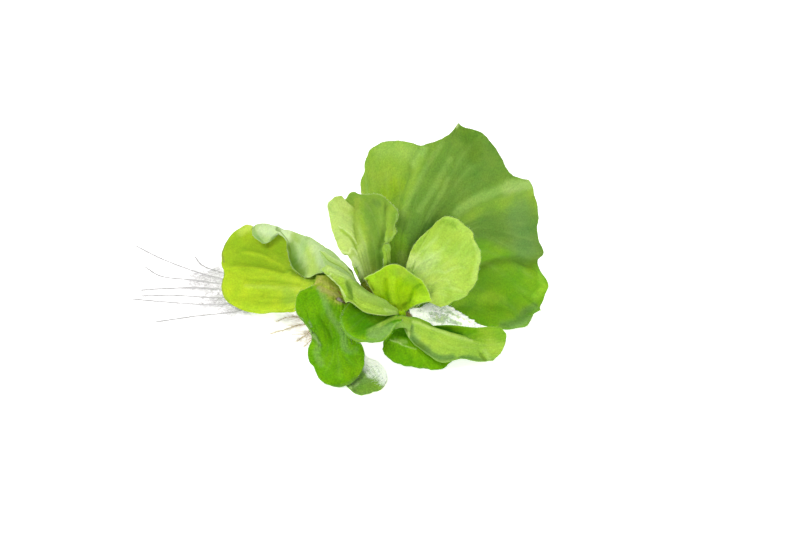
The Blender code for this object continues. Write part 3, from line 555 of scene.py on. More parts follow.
        "grid": (110, 120), "veins": 9, "ruffle": (8, 0.4), "swell": 0.8,
        "across": "vivid_green",
        "up": ((0.0, "decay_ochre"), (0.10, "decay_ochre"), (0.2, "vivid_green"), (1.0, "vivid_green")),
        "vein": "bloom_green", "vein_strength": 0.12, "margin": "bloom_green",
        "under": "bloom_green", "grain": 0.9, "mottle": 0.5,
        "folds": {
            "bloom ridge": (1.8, 0.7, (319, 288), (324, 298), (330, 312), (342, 335), (355, 349)),
            "groove beside it": (1.4, -0.7, (312, 300), (322, 318), (333, 336)),
            "waist hollow": (2.2, -0.9, (312, 338), (322, 346), (330, 352)),
            "low lump": (2.5, 0.8, (326, 366), (338, 372)),
            "low dent": (1.5, -0.6, (334, 382), (344, 376), (352, 374)),
            "sunk rot": (1.0, -0.8, (336, 297), (344, 300)),
        },
        "strokes": {
            "bloom": ("bloom_green", 2.0, 0.65, (319, 288), (324, 298), (330, 312), (342, 335), (356, 350)),
            "bluish waist": ("bloom_green", 2.0, 0.5, (315, 333), (316, 350), (320, 364)),
            "light right margin": ("leather_green", 2.0, 0.7, (352, 347), (359, 358), (357, 373)),
            "leathery low": ("leather_green", 4.5, 0.15, (328, 362), (344, 372)),
            "deep left": ("vivid_green", 4.0, 0.7, (303, 304), (311, 320)),
            "dark low edge": ("deep_green", 1.2, 0.6, (356, 376), (346, 384), (334, 386)),
            "dark under the ochre": ("hollow_green", 1.8, 0.5, (333, 306), (344, 318)),
            "ochre": ("decay_ochre", 4.8, 0.9, (319, 277), (327, 285), (337, 293)),
            "olive in it": ("olive_yellow", 1.4, 0.6, (321, 283), (329, 286)),
            "brown in it": ("decay_brown", 1.4, 0.2, (331, 283), (338, 289)),
            "flesh": ("decay_flesh", 1.7, 0.3, (319, 287), (327, 290), (338, 294)),
            "ochre between": ("margin_ochre", 1.4, 0.5, (320, 280), (328, 284), (335, 287)),
            "red fleck": ("decay_red", 0.5, 0.5, (331, 286), (333, 287)),
            "second fleck": ("decay_red", 0.6, 0.6, (339, 290), (342, 294)),
            "brown rot": ("decay_brown", 1.2, 0.85, (339, 297.5), (343, 298.5), (346, 302)),
            "dead centre": ("decay_mauve", 0.9, 0.8, (340.5, 298.5), (343, 300)),
            "pale rot": ("margin_ochre", 0.8, 0.5, (337, 302), (342, 304)),
            "ochre top": ("margin_ochre", 1.4, 0.6, (312, 281), (320, 276)),
        },
    },
    "leaf_front": {
        "grid": (84, 96), "veins": 7, "pleat": 0.15, "ruffle": (4, 0.25), "swell": 0.35,
        "across": "vivid_green",
        # The hollow green inside of the cup is painted shade.
        "up": (
            (0.0, "hollow_green"), (0.55, "hollow_green"), (0.7, "vivid_green"), (0.9, "bloom_green"),
            (1.0, "leather_green"),
        ),
        "up_share": 0.8, "vein": "bloom_green", "vein_strength": 0.12, "margin": "bloom_green",
        "under": "bloom_green", "grain": 0.7,
        "folds": {
            "lip": (1.5, 0.9, (397, 315), (386, 320), (377, 325), (366, 330)),
            "channel behind the lip": (1.2, -0.4, (390, 315), (376, 320), (362, 327)),
        },
        # Painted light: pale lip on the raised lip, brighter inside against the shade under the leaf above;
        # painted shade: inside, dark at the lip.
        "strokes": {
            "pale lip": ("bright_lime", 2.0, 0.8, (396, 317), (387, 320.5), (380, 324.5)),
            "green end of the lip": ("light_green", 2.4, 0.55, (379, 326), (371, 331)),
            "bluish lip": ("bloom_green", 2.6, 0.85, (391, 328), (383, 331.5), (372, 335)),
            "bluish below": ("bloom_green", 1.2, 0.6, (388, 336), (372, 337)),
            "inside": ("hollow_green", 4.0, 0.5, (350, 312), (360, 320)),
            "brighter inside": ("leather_green", 3.0, 0.6, (372, 319), (380, 318)),
            "pale margin": ("light_green", 0.6, 0.5, (387, 338), (393, 331), (399, 323)),
            "dark at the lip": ("hollow_green", 0.6, 0.25, (391, 317), (380, 322), (368, 328)),
            "light left": ("vivid_green", 1.6, 0.6, (344, 317), (347, 329)),
            "low right": ("leather_green", 1.6, 0.5, (360, 339), (374, 341)),
        },
    },
    "leaf_front_right": {
        "grid": (120, 76), "veins": 6, "ruffle": (4, 0.35),
        "across": (
            (0.0, "leather_green"), (0.35, "leather_green"), (0.45, "lime"), (0.8, "lime"),
            (1.0, "bloom_green"),
        ),
        "up": ((0.0, "bloom_green"), (0.3, "lime"), (1.0, "lime")),
        "up_share": 0.4, "vein": "light_lime", "vein_strength": 0.2, "margin": "light_green",
        "under": "bloom_green",
        "folds": {
            "ridge": (1.3, 0.7, (412, 321), (420, 323), (440, 330), (460, 337), (473, 340)),
            "channel": (1.9, -2.0, (436, 325.5), (450, 329), (466, 333), (474, 335)),
            "crease of the right lobe": (0.9, -0.7, (481, 350), (484, 357), (485, 361)),
            "fold beside the crease": (1.8, 0.3, (488, 347), (487, 359)),
            "foot crease": (1.2, -0.7, (409, 327), (417, 341), (430, 353)),
            "near lump": (2.2, 0.5, (452, 345), (470, 350)),
            "first wave": (1.0, 0.5, (462, 357), (464, 352)),
            "second wave": (1.0, -0.5, (472, 357), (471, 353)),
        },
        # Painted light: ridge, light beside the crease; painted shade: dark channel, crease, dark at the
        # foot, and the felted margins in dark bloom (bluish foot, bluish near margin, bluish right margin,
        # bluish at the foot).
        "strokes": {
            "ridge": ("light_lime", 0.8, 0.7, (412, 321), (420, 323), (440, 330), (460, 337), (472, 340)),
            "channel wall": ("vivid_green", 2.2, 0.9, (440, 326), (455, 328), (474, 330)),
            "dark channel": ("deep_hollow", 1.7, 1.0, (438, 326.5), (450, 329), (462, 332.5), (469, 336)),
            "channel end": ("leather_green", 1.6, 0.6, (474, 334), (482, 333)),
            "bluish foot": ("bloom_dark", 2.6, 0.85, (413, 338), (419, 345), (427, 351)),
            "pale foot": ("light_green", 1.4, 0.6, (411, 326), (413, 332), (420, 337)),
            "bluish near margin": ("bloom_dark", 1.7, 0.8, (423, 349), (440, 358), (453, 358)),
            "bluish right margin": ("bloom_dark", 1.4, 0.6, (462, 358), (474, 358), (482, 359)),
            "lime middle": ("lime", 3.8, 0.6, (434, 338), (455, 344), (470, 347)),
            "crease": ("shade_green", 1.0, 0.6, (482, 354), (484, 358), (485, 361)),
            "light beside the crease": ("light_lime", 1.2, 0.35, (485, 350), (488, 355), (489, 360)),
            "pale left margin": ("rim_pale", 0.5, 0.4, (404, 323), (406, 327), (408, 332), (409, 336)),
            "dark at the foot": ("shade_green", 1.8, 0.6, (417, 343), (424, 349)),
            "bluish at the foot": ("bloom_dark", 1.2, 0.55, (411, 327), (414, 335), (419, 342)),
            "right lobe": ("bright_lime", 3.4, 0.6, (493, 343), (501, 348)),
        },
    },
    "leaf_under_right": {
        "grid": (70, 100), "veins": 7, "ruffle": (7, 0.3),
        "across": "vivid_green",
        # The hollow green foot is painted shade under the leaves above.
        "up": ((0.0, "hollow_green"), (0.45, "hollow_green"), (0.55, "vivid_green"), (1.0, "vivid_green")),
        "up_share": 0.8, "vein": "leather_green", "vein_strength": 0.2, "margin": "vivid_green",
        "under": "bloom_green", "grain": 0.8,
        "folds": {
            "pale fold": (1.0, 0.6, (389, 340), (398, 343), (403, 346), (417, 349)),
            "first groove": (0.8, -0.4, (403, 350), (410, 362)),
            "second groove": (0.8, -0.4, (393, 348), (399, 360)),
        },
        # Painted shade: dark triangle, dark left, and dark streak with second streak in the grooves.
        "strokes": {
            "dark triangle": ("hollow_green", 2.0, 0.9, (393, 337), (401, 328)),
            "olive tissue": ("light_green", 1.3, 0.6, (394, 341), (406, 343)),
            "pale fold line": ("rim_pale", 0.5, 0.3, (389, 340), (398, 343), (403, 346), (417, 349)),
            "dark left": ("hollow_green", 2.4, 0.7, (386, 344), (390, 350)),
            "bright right": ("vivid_green", 3.0, 0.6, (413, 353), (422, 362)),
            "dark streak": ("hollow_green", 0.6, 0.4, (404, 349), (411, 359)),
            "second streak": ("hollow_green", 0.6, 0.4, (398, 350), (405, 362)),
            "dark low margin": ("deep_green", 0.5, 0.6, (384, 355), (394, 363), (407, 367), (427, 368.5)),
        },
    },
    "leaf_under_front": {
        "grid": (70, 70), "veins": 7, "ruffle": (5, 0.25), "swell": 0.4,
        "across": "bloom_green",
        "up": ((0.0, "mid_green"), (0.7, "bloom_green"), (1.0, "mid_green")),
        "vein": "light_green", "vein_strength": 0.15, "margin": "bloom_green",
        "tufts": ("silver band", 2600, 1.8), "grain": 1.1, "mottle": 0.7,
        "folds": {
            "silver ridge": (2.2, 0.6, (370, 362), (381, 372), (386, 381)),
            "dent beside it": (1.2, -0.4, (366, 368), (374, 378)),
        },
        "strokes": {
            "green body": ("leather_green", 4.0, 0.45, (362, 387), (376, 385)),
            "silver band": ("silver", 3.8, 0.95, (369, 359), (379, 368), (386, 379)),
            "silver left": ("silver", 2.2, 0.85, (364, 365), (372, 374)),
            "white edge": ("down", 2.0, 0.95, (374, 358), (384, 367), (388, 376)),
            "first grey hatch": ("bloom_green", 0.5, 0.5, (367, 368), (375, 378)),
            "second grey hatch": ("bloom_green", 0.5, 0.5, (370, 365), (378, 374)),
            "third grey hatch": ("bloom_green", 0.5, 0.4, (374, 364), (381, 372)),
            "brown edge": ("margin_brown", 0.6, 0.4, (383, 387), (387, 381)),
            "pale left end": ("mint", 1.4, 0.6, (351, 387), (357, 382)),
            "dark left end": ("deep_green", 0.7, 0.6, (352, 383), (356, 390)),
        },
    },
    "leaf_pale": {
        "grid": (84, 100), "veins": 8, "pleat": 0.3, "ruffle": (8, 0.9), "swell": 1.1,
        "across": "down",
        "up": ((0.0, "down"), (0.5, "down"), (0.7, "mint_pale"), (1.0, "down")),
        "vein": "mint_pale", "vein_strength": 0.3, "margin": "down",
        # glow here is a painted glow that keeps the white tissue white in shade.
        "under": "down", "mottle": 1.0, "streaks": 0.8, "grain": 1.4, "glow": 0.17,
        "tufts": ("white top", 900, 1.4),
        "folds": {
            "first crumple": (0.9, 1.2, (424, 313), (434, 308), (446, 309)),
            "second crumple": (0.9, -1.0, (428, 318), (438, 313), (449, 312)),
            "long fold": (0.9, 0.8, (456, 316), (468, 322), (482, 328)),
        },
        # Painted shade: green shade at the top, and grey crumple, second crumple and third crumple, which
        # shade the crumples.
        "strokes": {
            "white top": ("down", 2.6, 0.8, (424, 308), (436, 307), (450, 309)),
            "bluish sliver": ("bloom_green", 0.8, 0.7, (419, 305.5), (434, 305), (446, 307)),
            "green shade at the top": ("bloom_green", 0.7, 0.6, (449, 311), (455, 314)),
            "grey crumple": ("blue_green", 0.7, 0.6, (430, 312), (433, 308), (438, 311)),
            "second crumple": ("blue_green", 0.6, 0.6, (441, 309), (446, 313), (452, 312)),
            "third crumple": ("bloom_green", 0.8, 0.6, (437, 306), (444, 308), (450, 310)),
            "pale green line": ("light_lime", 0.6, 0.7, (456, 315), (470, 323)),
        },
    },
    "crown_sheath": {
        "grid": (30, 30), "veins": 3, "pleat": 0.05, "ruffle": (2, 0.1), "swell": 0.15, "of": "leaf_front",
        "across": ((0.0, "spring_green"), (1.0, "lime")),
        "up": ((0.0, "bloom_green"), (0.6, "spring_green"), (1.0, "light_green")),
        "up_share": 0.6, "vein": "light_green", "vein_strength": 0.1, "margin": "light_green",
        "under": "leather_green", "foot": 0.5,
    },
    "crown_scale": {
        "grid": (24, 24), "veins": 3, "pleat": 0.05, "ruffle": (2, 0.1), "swell": 0.1, "of": "leaf_centre",
        "across": ((0.0, "glow_green"), (1.0, "leather_green")),
        "up": ((0.0, "leather_green"), (1.0, "glow_green")),
        "vein": "glow_light", "vein_strength": 0.1, "margin": "glow_light",
        "under": "leather_green", "foot": 0.4,
    },
    "left_inner_turn": {
        "grid": (30, 60), "veins": 4, "pleat": 0.05, "ruffle": (3, 0.15), "swell": 0.3,
        "of": "leaf_left_inner",
        "across": "light_green",
        "up": (
            (0.0, "mint"), (0.4, "mint"), (0.5, "spring_green"), (0.62, "light_lime"), (1.0, "rim_pale"),
        ),
        "up_share": 0.8, "vein": "light_lime", "vein_strength": 0.1, "margin": "mint_pale",
        "foot": 0.5,
    },
    # The sheet in the gap beside the small leaf is painted shade, in a brown tone.
    "gap_shade_sheet": {
        "grid": (30, 30), "veins": 3, "pleat": 0.05, "ruffle": (2, 0.1), "of": "leaf_centre",
        "across": "cavity_brown",
        "up": ((0.0, "cavity_brown"), (1.0, "olive_yellow")),
        "up_share": 0.25, "vein": "olive_yellow", "vein_strength": 0.2, "margin": "cavity_brown",
        "under": "cavity_brown", "foot": 0.4, "mottle": 0.9,
    },
    "pale_flap": {
        "grid": (56, 130), "veins": 9, "pleat": 0.3, "ruffle": (13, 0.55), "swell": 0.9, "of": "leaf_pale",
        "across": "down",
        "up": "down",
        "vein": "mint_pale", "vein_strength": 0.25, "margin": "down",
        # glow here is a painted glow that keeps the white flap white in shade.
        "under": "down", "mottle": 1.0, "streaks": 0.8, "grain": 1.4, "glow": 0.27,
        "tufts": ("white blob", 1400, 1.5), "foot": 0.5,
        "folds": {
            "first crumple": (0.8, 1.0, (416, 316), (424, 313), (430, 318)),
            "second crumple": (0.7, -0.9, (430, 312), (434, 319), (440, 323)),
            "third crumple": (0.8, 0.9, (437, 314), (440, 320), (446, 322)),
            "long groove": (0.8, -0.6, (452, 321), (464, 325), (478, 328)),
        },
        # Painted shade: grey-green crumple, first, second and third grey line, which shade the crumples, and
        # shade by the leaf.
        "strokes": {
            "white blob": ("down", 4.0, 0.95, (410, 316), (423, 317)),
            "dark spot": ("shade_green", 0.8, 0.85, (419, 310), (427, 310.5)),
            "grey-green crumple": ("bloom_green", 1.8, 0.9, (431, 311), (438, 317), (444, 320)),
            "olive hollow": ("olive_yellow", 1.5, 0.85, (440, 321), (444, 317), (447, 316)),
            "cream line": ("margin_ochre", 0.4, 0.5, (437, 313), (438, 323)),
            "grey band": ("bloom_green", 1.0, 0.8, (448, 317), (454, 320), (462, 323)),
            "first grey line": ("blue_green", 0.5, 0.9, (429, 309), (433, 314), (431, 319)),
            "second grey line": ("blue_green", 0.5, 0.9, (436, 311), (441, 314), (449, 314)),
            "third grey line": ("blue_green", 0.5, 0.8, (446, 318), (450, 322), (459, 324)),
            "shade by the leaf": ("bloom_green", 0.7, 0.5, (424, 319), (432, 321), (440, 323)),
            "grey flecks": ("bloom_green", 0.4, 0.5, (453, 320), (456, 322), (460, 321.5)),
            "pink fleck": ("decay_flesh", 0.4, 0.4, (464, 326), (468, 327)),
        },
    },
}

# Rootlets of a long and of a short root: their share of the count, their longest reach in millimetres, the
# stretch of the root that they grow on, and how far they turn away from it in radians.
LONG_ROOTLETS = (
    (1.0, 12.0, (0.46, 0.66), (0.7, 2.0)),
    (0.5, 5.0, (0.25, 0.97), (0.15, 1.0)),
)
SHORT_ROOTLETS = (
    (0.25, 14.0, (0.30, 0.65), (0.0, 1.3)),
    (0.25, 6.0, (0.4, 0.95), (0.2, 1.4)),
)
FINE_ROOTS = 34

# Thick and thin end of each kind of strand in millimetres, and how many sides strands have.
DOWN_RADII = (0.024, 0.008)
TUFT_RADII = (0.035, 0.012)
ROOTLET_RADII = (0.045, 0.025)
FINE_ROOT_RADII = (0.13, 0.06)
HAIR_SIDES = 3
FINE_ROOT_SIDES = 4
ROOT_SIDES = 8
STEM_SIDES = 40
STEM_STEPS = 90
LOWEST_HAIR = 0.08
# Painted glow: a light of their own that the white tufts give, so that they stay white in shade.
TUFT_GLOW = 0.25
TUFT_SEED = 100
ROOT_SEED = 41

# Layers of unevenness: the size of the lumps and their height in millimetres, and a step of the seed.
VEIN_WANDER = ((26.0, 0.3, 0), (9.0, 0.12, 3))
LEATHER = ((1.6, 0.06, 17), (4.0, 0.12, 19))
STEM_KNOBS = ((3.0, 0.10, 0), (1.0, 0.05, 1))

# Each root: where it leaves the stem, then the places it passes on the surface, the last one its tip.
LONG_ROOTS = (
    ((-38.8, 17.2, 27.6), (-62, 49, 0), (-99, 64, 0), (-121.5, 77, 0), (-138, 90, 0)),
    ((-39.6, 16.2, 27), (-63.5, 47.5, 0), (-100, 58.5, 0), (-121, 62.5, 0), (-131, 71, 0)),
    ((-40.2, 15.2, 26.4), (-65, 46, 0), (-99, 52.5, 0), (-116.5, 52.5, 0), (-131, 51, 0)),
    ((-40.4, 14, 25.8), (-66.5, 44.5, 0), (-93, 44.5, 0), (-113.5, 46.5, 0), (-130, 46, 0)),
    ((-40.2, 12.8, 25.2), (-67.5, 42.5, 0), (-92, 38.5, 0), (-117.5, 41, 0), (-134.5, 43.5, 0)),
    ((-39.5, 11.6, 24.6), (-68, 40, 0), (-82, 33, 0), (-102, 29, 0), (-120.5, 24.5, 0)),
    ((-37.6, 18.2, 28.2), (-60.5, 51, 0), (-92, 66.5, 0), (-102, 72.5, 0), (-107, 81, 0)),
)
SHORT_ROOTS = (
    ((-37.2, 10, 24.6), (-47.5, 27, 0), (-56, 28.5, 0), (-62, 24.5, 0)),
    ((-36, 9, 23.4), (-49, 22, 0), (-58, 18, 0), (-64.5, 15, 0)),
    ((-34.6, 8.2, 22.6), (-44, 17, 0), (-48, 12.5, 0), (-51, 9, 0)),
    ((-33, 7.4, 22), (-41, 14.5, 0), (-44.5, 9.5, 0), (-47.5, 5, 0)),
)


# Shapes


def curve_through(points, shares):
    """Places at shares of the way along smooth curves through the points, whose first axis is the way."""
    points = np.asarray(points, float)
    last = len(points) - 1
    spot = np.clip(shares, 0.0, 1.0) * last
    index = np.minimum(spot.astype(int), last - 1)
    t = (spot - index).reshape((-1,) + (1,) * (points.ndim - 1))
    padded = np.concatenate((2 * points[:1] - points[1:2], points, 2 * points[-1:] - points[-2:-1]))
    before, start, end, after = (padded[index + step] for step in range(4))
    return (
        start * (2 * t**3 - 3 * t**2 + 1)
        + (end - before) / 2 * (t**3 - 2 * t**2 + t)
        + end * (3 * t**2 - 2 * t**3)
        + (after - start) / 2 * (t**3 - t**2)
    )


def run_along(places, axis):
    """The length run from the start to each place, along one axis of a grid of places."""
    steps = np.linalg.norm(np.diff(places, axis=axis), axis=-1)
    start = np.zeros_like(np.take(steps, [0], axis=axis))
    return np.concatenate((start, np.cumsum(steps, axis=axis)), axis=axis)


def smooth_step(value, low, high):
    """How far a value has come from low to high, eased at both ends."""
    share = np.clip((value - low) / (high - low), 0.0, 1.0)
    return share * share * (3.0 - 2.0 * share)


def unevenness(places, size, seed):
    """Soft noise between -1 and 1 at each place, with lumps of about that size."""
    flat = places.reshape(-1, 3) / size + seed * 7.3
    values = np.array([noise.noise(Vector(place)) for place in flat])
    return values.reshape(places.shape[:-1])


def layered(places, layers, seed):
    """Unevenness summed over its layers."""
    return sum(height * unevenness(places, size, seed + step) for size, height, step in layers)


def unit(vectors):
    """The same directions, one long."""
    return vectors / np.maximum(np.linalg.norm(vectors, axis=-1, keepdims=True), 1e-9)


def face_directions(places):
    """Which way the upper face looks at each place of a blade."""
    return unit(np.cross(np.gradient(places, axis=1), np.gradient(places, axis=0)))


def in_photo(places):
    """The column and row of the photograph's frame where places show, and how deep they lie, in mm."""
    seen = places - (np.array(CAMERA_SPOT) + TO_CAMERA * CAMERA_DISTANCE)
    depth = -(seen @ TO_CAMERA)
    zoom = CAMERA_LENS / SENSOR_WIDTH * PHOTO_WIDTH / depth
    return PHOTO_WIDTH / 2 + seen[..., 0] * zoom, PHOTO_HEIGHT / 2 - (seen @ UP_IN_PHOTO) * zoom, depth


def numbered_strokes(look, kind):
    """A leaf's strokes under the names that its mesh and its materials know them by."""
    return {f"{kind}_{number:02d}": stroke for number, stroke in enumerate(look[kind].values(), 1)}


def grid_mesh(name, columns, rows, size):
    """A flat grid of faces as a new mesh."""
    grid = bmesh.new()
    bmesh.ops.create_grid(grid, x_segments=columns, y_segments=rows, size=size)
    mesh = bpy.data.meshes.new(name)
    grid.to_mesh(mesh)
    grid.free()
    return mesh


def vertex_places(mesh):
    """Where each vertex of a mesh is."""
    places = np.empty(len(mesh.vertices) * 3)
    mesh.vertices.foreach_get("co", places)
    return places.reshape(-1, 3)


def vertex_at_corners(mesh):
    """Which vertex stands at each corner of each face of a mesh."""
    corner = np.empty(len(mesh.loops), dtype=np.int32)
    mesh.loops.foreach_get("vertex_index", corner)
    return corner


def keep_map(mesh, label, first, second):
    """Keeps two values for each corner of each face in a UV map, where the materials read them."""
    layer = mesh.uv_layers.new(name=label)
    layer.data.foreach_set("uv", np.stack((first, second), axis=1).ravel())


def add_object(name, data, collection):
    """An object that shows a mesh, a lamp or a camera."""
    made = bpy.data.objects.new(name, data)
    collection.objects.link(made)
    return made


class Blade:
    """A leaf's upper face as a grid of places, with what the materials read at each of them."""

    # How the grid is laid: how evenly its steps run along the rim, and how finely a line is followed on it.
    RIM_SAMPLES = 801
    RIM_EVENNESS = 0.6
    SPOT_REACH = 1.5
    TRACE_STEPS = 8

    # How every blade is dressed, in millimetres. PLEAT_LIMIT and RIB_HALF are shares of the way from one vein
    # to the next.
    PATCH_SIZE = 11.0
    SWELL_SIZE = 14.0
    PLEAT_LIMIT = 0.12
    RUFFLE_REACH = 3.5
    NIBBLE_SIZE = 2.6
    NIBBLE_DEPTH = 0.28
    NIBBLE_REACH = 1.6
    RIB_HALF = 0.22
    RIB_LIMIT = 0.9
    OVER_FLOOR = 0.25

    def __init__(self, look, rows, sizes, seed):
        steps_up, steps_across = look["grid"]
        fine = np.linspace(0.0, 1.0, self.RIM_SAMPLES)
        rim_run = run_along(curve_through(rows[-1], fine), 0)
        rim_share = rim_run / rim_run[-1]
        even = np.linspace(0.0, 1.0, steps_across + 1)
        along_rim = np.interp(even, rim_share, fine)
        self.across = self.RIM_EVENNESS * along_rim + (1.0 - self.RIM_EVENNESS) * even
        self.up = np.linspace(0.0, 1.0, steps_up + 1)
        crossing = np.stack([curve_through(row, self.across) for row in rows])
        self.places = curve_through(crossing, self.up)
        self.fan = np.interp(self.across, fine, rim_share)[None, :] + np.zeros((steps_up + 1, 1))
        self.column, self.row, self.depth = in_photo(self.places)
        self.strokes = {
            label: self.away_from(spots) / half
            for kind in ("strokes", "under_strokes")
            for label, (_, half, _, *spots) in numbered_strokes(look, kind).items()
        }
        self.dress(look, sizes, seed)

    def find(self, spot):
        """Where on the grid the blade shows at a spot of the photograph."""
        off = np.hypot(self.column - spot[0], self.row - spot[1])
        near = off < max(self.SPOT_REACH, off.min() + 0.6)
        return np.unravel_index(np.where(near, self.depth, np.inf).argmin(), off.shape)

    def trace(self, spots):
        """Places along a line on the blade that runs through spots of the photograph."""
        found = np.array([self.find(spot) for spot in spots], float)
        stops = np.linspace(0.0, len(found) - 1.0, self.TRACE_STEPS * (len(found) - 1) + 1)
        steps = np.stack([np.interp(stops, range(len(found)), found[:, axis]) for axis in (0, 1)], axis=1)
        low = np.minimum(steps.astype(int), np.array(self.places.shape[:2]) - 2)
        share = (steps - low)[:, :, None]
        corner = [[self.places[low[:, 0] + i, low[:, 1] + j] for j in (0, 1)] for i in (0, 1)]
        sides = [pair[0] * (1.0 - share[:, 1]) + pair[1] * share[:, 1] for pair in corner]
        return sides[0] * (1.0 - share[:, 0]) + sides[1] * share[:, 0]

    def away_from(self, spots):
        """How far each place lies from the line through spots of the photograph, in mm."""
        line = self.trace(spots)
        away = np.linalg.norm(self.places - line[0], axis=2)
        for start, end in zip(line, line[1:]):
            way = end - start
            share = ((self.places - start) @ way) / max(float(way @ way), 1e-9)
            nearest = start + np.clip(share, 0.0, 1.0)[..., None] * way
            away = np.minimum(away, np.linalg.norm(self.places - nearest, axis=2))
        return away

    def dress(self, look, sizes, seed):
        """Raises the veins and folds, ruffles and nibbles the rim, and sets the thickness."""
        places = self.places
        up = self.up[:, None]
        rim = sizes.rim_thickness / MM
        to_side = run_along(places, 1)
        to_side = np.minimum(to_side, to_side[:, -1:] - to_side)
        to_rim = run_along(places, 0)
        to_rim = to_rim[-1:] - to_rim
        self.margin = np.minimum(to_side, to_rim)
        self.veins = self.fan * look["veins"] + layered(places, VEIN_WANDER, seed)
        spacing = np.linalg.norm(np.gradient(places, axis=1), axis=2)
        spacing = spacing / np.maximum(np.gradient(self.fan, axis=1), 1e-4) / look["veins"]

        lift = self.pleats(look["pleat"] * sizes.pleat_share, spacing, seed)
        for half, height, *spots in look["folds"].values():
            lift = lift + height * np.exp(-((self.away_from(spots) / half) ** 2))
        lift = lift + self.ruffles(*look["ruffle"], seed) * sizes.ruffle_share
        swell = unevenness(places, self.SWELL_SIZE, seed + 11) * smooth_step(up, 0.0, 0.3)
        lift = lift + look["swell"] * swell + layered(places, LEATHER, seed)
        self.places = places + face_directions(places) * lift[..., None]

        outward = unit(np.gradient(self.places, axis=0))
        nibble = self.NIBBLE_DEPTH * unevenness(self.places, self.NIBBLE_SIZE, seed + 23)
        nibble = nibble * np.exp(-to_rim / self.NIBBLE_REACH)
        self.places = self.places + outward * nibble[..., None]
        self.places[..., 2] = np.maximum(self.places[..., 2], rim + self.OVER_FLOOR)
        self.thickness = self.thickness_at(look.get("foot", sizes.foot_thickness / MM), rim, spacing)

    def pleats(self, height, spacing, seed):
        """How far the blade swells between its veins, which is less at its foot and its margin."""
        between = np.abs(np.sin(np.pi * self.veins)) ** 0.8 - 0.6
        patchy = 0.7 + 0.6 * unevenness(self.places, self.PATCH_SIZE, seed + 29)
        height = np.minimum(height, self.PLEAT_LIMIT * spacing) * patchy
        fading = smooth_step(self.margin, 0.0, 7.0) * smooth_step(self.up[:, None], 0.0, 0.25)
        return height * between * fading

    def ruffles(self, waves, height, seed):
        """The waves of the rim, which die away towards the middle and the foot."""
        phase = 2 * np.pi * (waves * self.fan + 0.13 * seed)
        wave = np.sin(phase) + 0.45 * np.sin(2.3 * phase + 1.7 * seed)
        fading = np.exp(-self.margin / self.RUFFLE_REACH) * smooth_step(self.up[:, None], 0.1, 0.5)
        return height * wave * fading

    def thickness_at(self, foot, rim, spacing):
        """The blade's thickness: thinner towards the rim, and thicker along each vein."""
        up = self.up[:, None]
        body = foot * (1.0 - 0.45 * up)
        thick = rim + (body - rim) * smooth_step(self.margin, 0.0, 6.0)
        rib = 1.0 - smooth_step(np.abs(self.veins - np.round(self.veins)), 0.0, self.RIB_HALF)
        height = np.minimum(self.RIB_LIMIT, 0.2 * spacing) * (1.0 - 0.8 * up)
        return thick + rib * height * smooth_step(self.margin, 0.5, 8.0)

    def margin_roots(self, count, dice):
        """Places on the free margins for hairs to grow from, and the way each hair leaves."""
        bare_foot = len(self.places) // 5
        places = self.places - face_directions(self.places) * self.thickness[..., None] / 2

        def margins(grid, inset):
            return np.concatenate((
                grid[bare_foot:, inset], grid[-1 - inset, 1:-1], grid[bare_foot:, -1 - inset][::-1],
            ))

        edge = margins(places, 0)
        outward = unit(edge - margins(places, 1))
        facing = margins(face_directions(self.places), 0)
        run = run_along(edge, 0)
        along = np.sort(dice.random(count)) * run[-1]

        def pick(values):
            return np.stack([np.interp(along, run, values[:, axis]) for axis in range(3)], axis=1)

        ways = pick(outward) * 0.7 + pick(facing) * dice.uniform(-0.5, 1.0, (count, 1))
        return pick(edge), unit(ways + dice.normal(0.0, 0.3, (count, 3)))

    def tuft_roots(self, stroke, count, dice):
        """Places along a stroke for longer hairs that lie down on the blade."""
        wide = smooth_step(-self.strokes[stroke], -1.6, -0.3).ravel()
        chosen = dice.choice(len(wide), count, p=wide / wide.sum())
        facing = face_directions(self.places).reshape(-1, 3)[chosen]
        across = unit(np.gradient(self.places, axis=1)).reshape(-1, 3)[chosen]
        ways = facing * 0.45 + across * dice.uniform(-0.6, 1.0, (count, 1))
        ways = ways + dice.normal(0.0, 0.35, (count, 3))
        return self.places.reshape(-1, 3)[chosen], unit(ways)

    def mesh(self, name):
        """The blade's mesh, with its maps and strokes on it, and how thick the blade is at each corner."""
        rows, columns = self.places.shape[:2]
        mesh = grid_mesh(name, columns - 1, rows - 1, 0.5)
        flat = vertex_places(mesh)
        column = np.rint((flat[:, 0] + 0.5) * (columns - 1)).astype(int)
        row = np.rint((flat[:, 1] + 0.5) * (rows - 1)).astype(int)
        world = (self.places[row, column] + HEART) * MM
        mesh.vertices.foreach_set("co", world.ravel())
        corner = vertex_at_corners(mesh)
        keep_map(mesh, "fan", self.fan[row, column][corner], self.up[row][corner])
        keep_map(mesh, "veins", self.veins[row, column][corner], self.margin[row, column][corner])
        for label, away in self.strokes.items():
            layer = mesh.attributes.new(label, "FLOAT", "POINT")
            layer.data.foreach_set("value", away[row, column])
        mesh.shade_smooth()
        return mesh, self.thickness[row, column]


